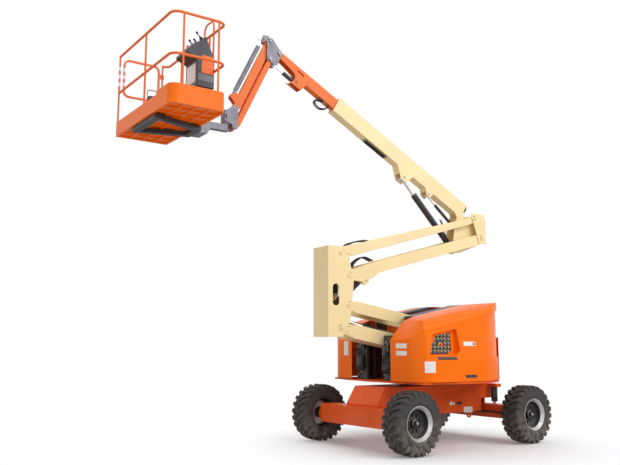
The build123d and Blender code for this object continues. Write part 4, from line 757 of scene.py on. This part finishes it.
consoleSide = basketAt(0, basket["sideFace"], 0)
consoleFront = basketAt(basket["frontFace"], 0, 0)
piece("consolePanel", prismed(basket["sidePanel"], consoleSide, basketAhead, ups, -3), paints["boom_orange"],
      "platform", bevel=1)
piece("consoleBox", [prismed(rounded(214, 92, 8, at=(-220, 4740)), consoleSide, basketAhead, ups, -5),
                     prismed(rounded(300, 300, 8, at=(450, 4800)), consoleFront, basketLeft, ups, 3)],
      slateGrey, "platform", bevel=1)
plate = rounded(250, 240, 6, at=(450, 4810))
piece("consolePlate", prismed(plate, consoleFront + basketAhead * 0.003, basketLeft, ups, 1.5), whiteLabel,
      "platform")
piece("consoleFace", prismed(rounded(318, 316, 12), slopeMiddle, basketLeft, slopeUp, 4), paints["panel"],
      "platform", bevel=1)
sticks, toggles, toggleMarks = [], [], []
for a, b, length, foot in basket["sticks"]:
    # a foot plate, a gaiter in two folds, the stem and its grip
    profile = [(0, 4), (foot, 4), (foot, 10), (foot * 0.8, 18), (foot * 0.86, 22), (foot * 0.6, 30),
               (foot * 0.66, 34), (7, 44), (6, length - 40), (11, length - 34), (14, length - 10),
               (11, length), (0, length + 1)]
    sticks.append(revolved(np.array(profile) / 1000, onSlope(a, b), slopeOut, 20))
grid = basket["toggles"]
lever = np.array([(0, 24), (4, 24), (5, 20), (4, 9), (10, 8), (10, 0)]) / 1000
for row in range(grid["rows"]):
    for column in range(grid["columns"]):
        spot = onSlope(grid["first"][0] + column * grid["pitch"][0],
                       grid["first"][1] + row * grid["pitch"][1], 4)
        toggles.append(revolved(lever, spot, slopeOut, 10))
        toggleMarks.append(prismed(rounded(26, 7, 2, at=(0, 18)), spot, basketLeft, slopeUp, 1.2))
piece("platformSticks", sticks, hoseRubber, "platform")
piece("platformToggles", toggles, steel, "platform")
piece("platformMarks", toggleMarks, whiteLabel, "platform")
knob = np.array([(0, 36), (12, 35), (20, 31), (22, 26), (10, 22), (10, 0)]) / 1000
piece("platformStop", revolved(knob, onSlope(*basket["stop"], 4), slopeOut, 28), redKnob, "platform")

# Foot switch under its hoop on the basket's floor
hoop = [basketAt(u, basket["hoopAcross"], h) for u, h in basket["hoop"]]
pedal = rounded(120, 90, 10, at=(110, basket["hoopAcross"]))
piece("footHoop", tubed(smooth(hoop, 5), 0.009, 10), hoseWhite, "platform")
piece("footPedal", prismed(pedal, basketAt(0, 0, 4642), basketAhead, basketLeft, 45), paints["black_steel"],
      "platform", bevel=3)
print("basket done")

# Camera, as the photograph's: place, angle above the level, roll, and heading
shot = {"lens": 42.94, "place": (6.592, 8.328, 1.427), "tilt": 8.653, "roll": -0.1, "heading": -125.865}
camera = bpy.data.cameras.new("view")
camera.sensor_fit, camera.sensor_width, camera.lens = "HORIZONTAL", 36, shot["lens"]
camera.clip_end = 200
eye = bpy.data.objects.new("view", camera)
bpy.context.scene.collection.objects.link(eye)
eye.location = shot["place"]
eye.rotation_euler = [math.radians(a) for a in (90 + shot["tilt"], shot["roll"], shot["heading"] - 90)]
bpy.context.scene.camera = eye

# Studio: a pale floor, an even white surround and three soft lamps, each with its power, place and size. Past
# "clear" from the machine's middle the camera sees the floor as white as the surround.
studio = {
    "surround": 0.52, "target": (-0.4, 0.1, 2.2), "key": (1300, (-4.0, 12.0, 10.0), 12.0),
    "fill": (230, (11.0, 4.0, 5.0), 10.0), "top": (330, (0.0, -3.0, 12.0), 11.0),
    "floorHalf": 60, "floorColour": (0.86, 0.86, 0.87, 1), "bounce": 0.60, "fromMiddle": (1.4, -0.3, 0),
    "clear": (1.2, 3.0), "leastGlow": 0.10,
}
half = studio["floorHalf"]
floorMesh = bpy.data.meshes.new("floor")
floorMesh.from_pydata([(-half, -half, 0), (half, -half, 0), (half, half, 0), (-half, half, 0)], [],
                      [(0, 1, 2, 3)])
floor = bpy.data.objects.new("floor", floorMesh)
bpy.context.scene.collection.objects.link(floor)
pale = bpy.data.materials.new("paleFloor")
pale.use_nodes = True
tree = pale.node_tree
shader = tree.nodes["Principled BSDF"]
shader.inputs["Roughness"].default_value = 0.9
shader.inputs["Specular IOR Level"].default_value = 0.1
glow = tree.nodes.new("ShaderNodeEmission")
glow.inputs["Color"].default_value = (1, 1, 1, 1)
mixer = tree.nodes.new("ShaderNodeMixShader")
rays = tree.nodes.new("ShaderNodeLightPath")
# the machine sees a darker floor than the camera does
tint = tree.nodes.new("ShaderNodeMix")
tint.data_type = "RGBA"
tint.inputs[6].default_value = (*[studio["bounce"]] * 3, 1)
tint.inputs[7].default_value = studio["floorColour"]
link(tree, rays.outputs["Is Camera Ray"], tint.inputs[0])
link(tree, tint.outputs[2], shader.inputs["Base Color"])
place = tree.nodes.new("ShaderNodeTexCoord")
centred = tree.nodes.new("ShaderNodeMapping")
centred.inputs["Location"].default_value = studio["fromMiddle"]
far = tree.nodes.new("ShaderNodeVectorMath")
far.operation = "LENGTH"
fade = tree.nodes.new("ShaderNodeMapRange")
fade.interpolation_type = "SMOOTHSTEP"
fade.inputs["From Min"].default_value, fade.inputs["From Max"].default_value = studio["clear"]
fade.inputs["To Min"].default_value = studio["leastGlow"]
link(tree, place.outputs["Object"], centred.inputs["Vector"])
link(tree, centred.outputs["Vector"], far.inputs[0])
link(tree, far.outputs["Value"], fade.inputs["Value"])
share = tree.nodes.new("ShaderNodeMath")
share.operation = "MULTIPLY"
link(tree, fade.outputs["Result"], share.inputs[1])
link(tree, rays.outputs["Is Camera Ray"], share.inputs[0])
link(tree, share.outputs[0], mixer.inputs[0])
link(tree, shader.outputs[0], mixer.inputs[1])
link(tree, glow.outputs[0], mixer.inputs[2])
link(tree, mixer.outputs[0], tree.nodes["Material Output"].inputs["Surface"])
floorMesh.materials.append(pale)

world = bpy.data.worlds.new("surround")
world.use_nodes = True
bpy.context.scene.world = world
tree = world.node_tree
plain = tree.nodes["Background"]
plain.inputs["Color"].default_value = (1, 1, 1, 1)
plain.inputs["Strength"].default_value = studio["surround"]
seen = tree.nodes.new("ShaderNodeBackground")
seen.inputs["Color"].default_value = (1, 1, 1, 1)
seen.inputs["Strength"].default_value = 1.0
rays = tree.nodes.new("ShaderNodeLightPath")
either = tree.nodes.new("ShaderNodeMath")
either.operation = "MAXIMUM"
mixer = tree.nodes.new("ShaderNodeMixShader")
link(tree, rays.outputs["Is Camera Ray"], either.inputs[0])
link(tree, rays.outputs["Is Glossy Ray"], either.inputs[1])
link(tree, either.outputs[0], mixer.inputs[0])
link(tree, plain.outputs[0], mixer.inputs[1])
link(tree, seen.outputs[0], mixer.inputs[2])
link(tree, mixer.outputs[0], tree.nodes["World Output"].inputs["Surface"])

target = Vector(studio["target"])
for name in ("key", "fill", "top"):
    power, place, size = studio[name]
    lamp = bpy.data.lights.new(name, "AREA")
    lamp.energy, lamp.size = power, size
    holder = bpy.data.objects.new(name, lamp)
    bpy.context.scene.collection.objects.link(holder)
    holder.location = place
    holder.rotation_euler = (target - Vector(place)).to_track_quat("-Z", "Y").to_euler()
bpy.context.scene.view_settings.view_transform = "Standard"
print("studio done")
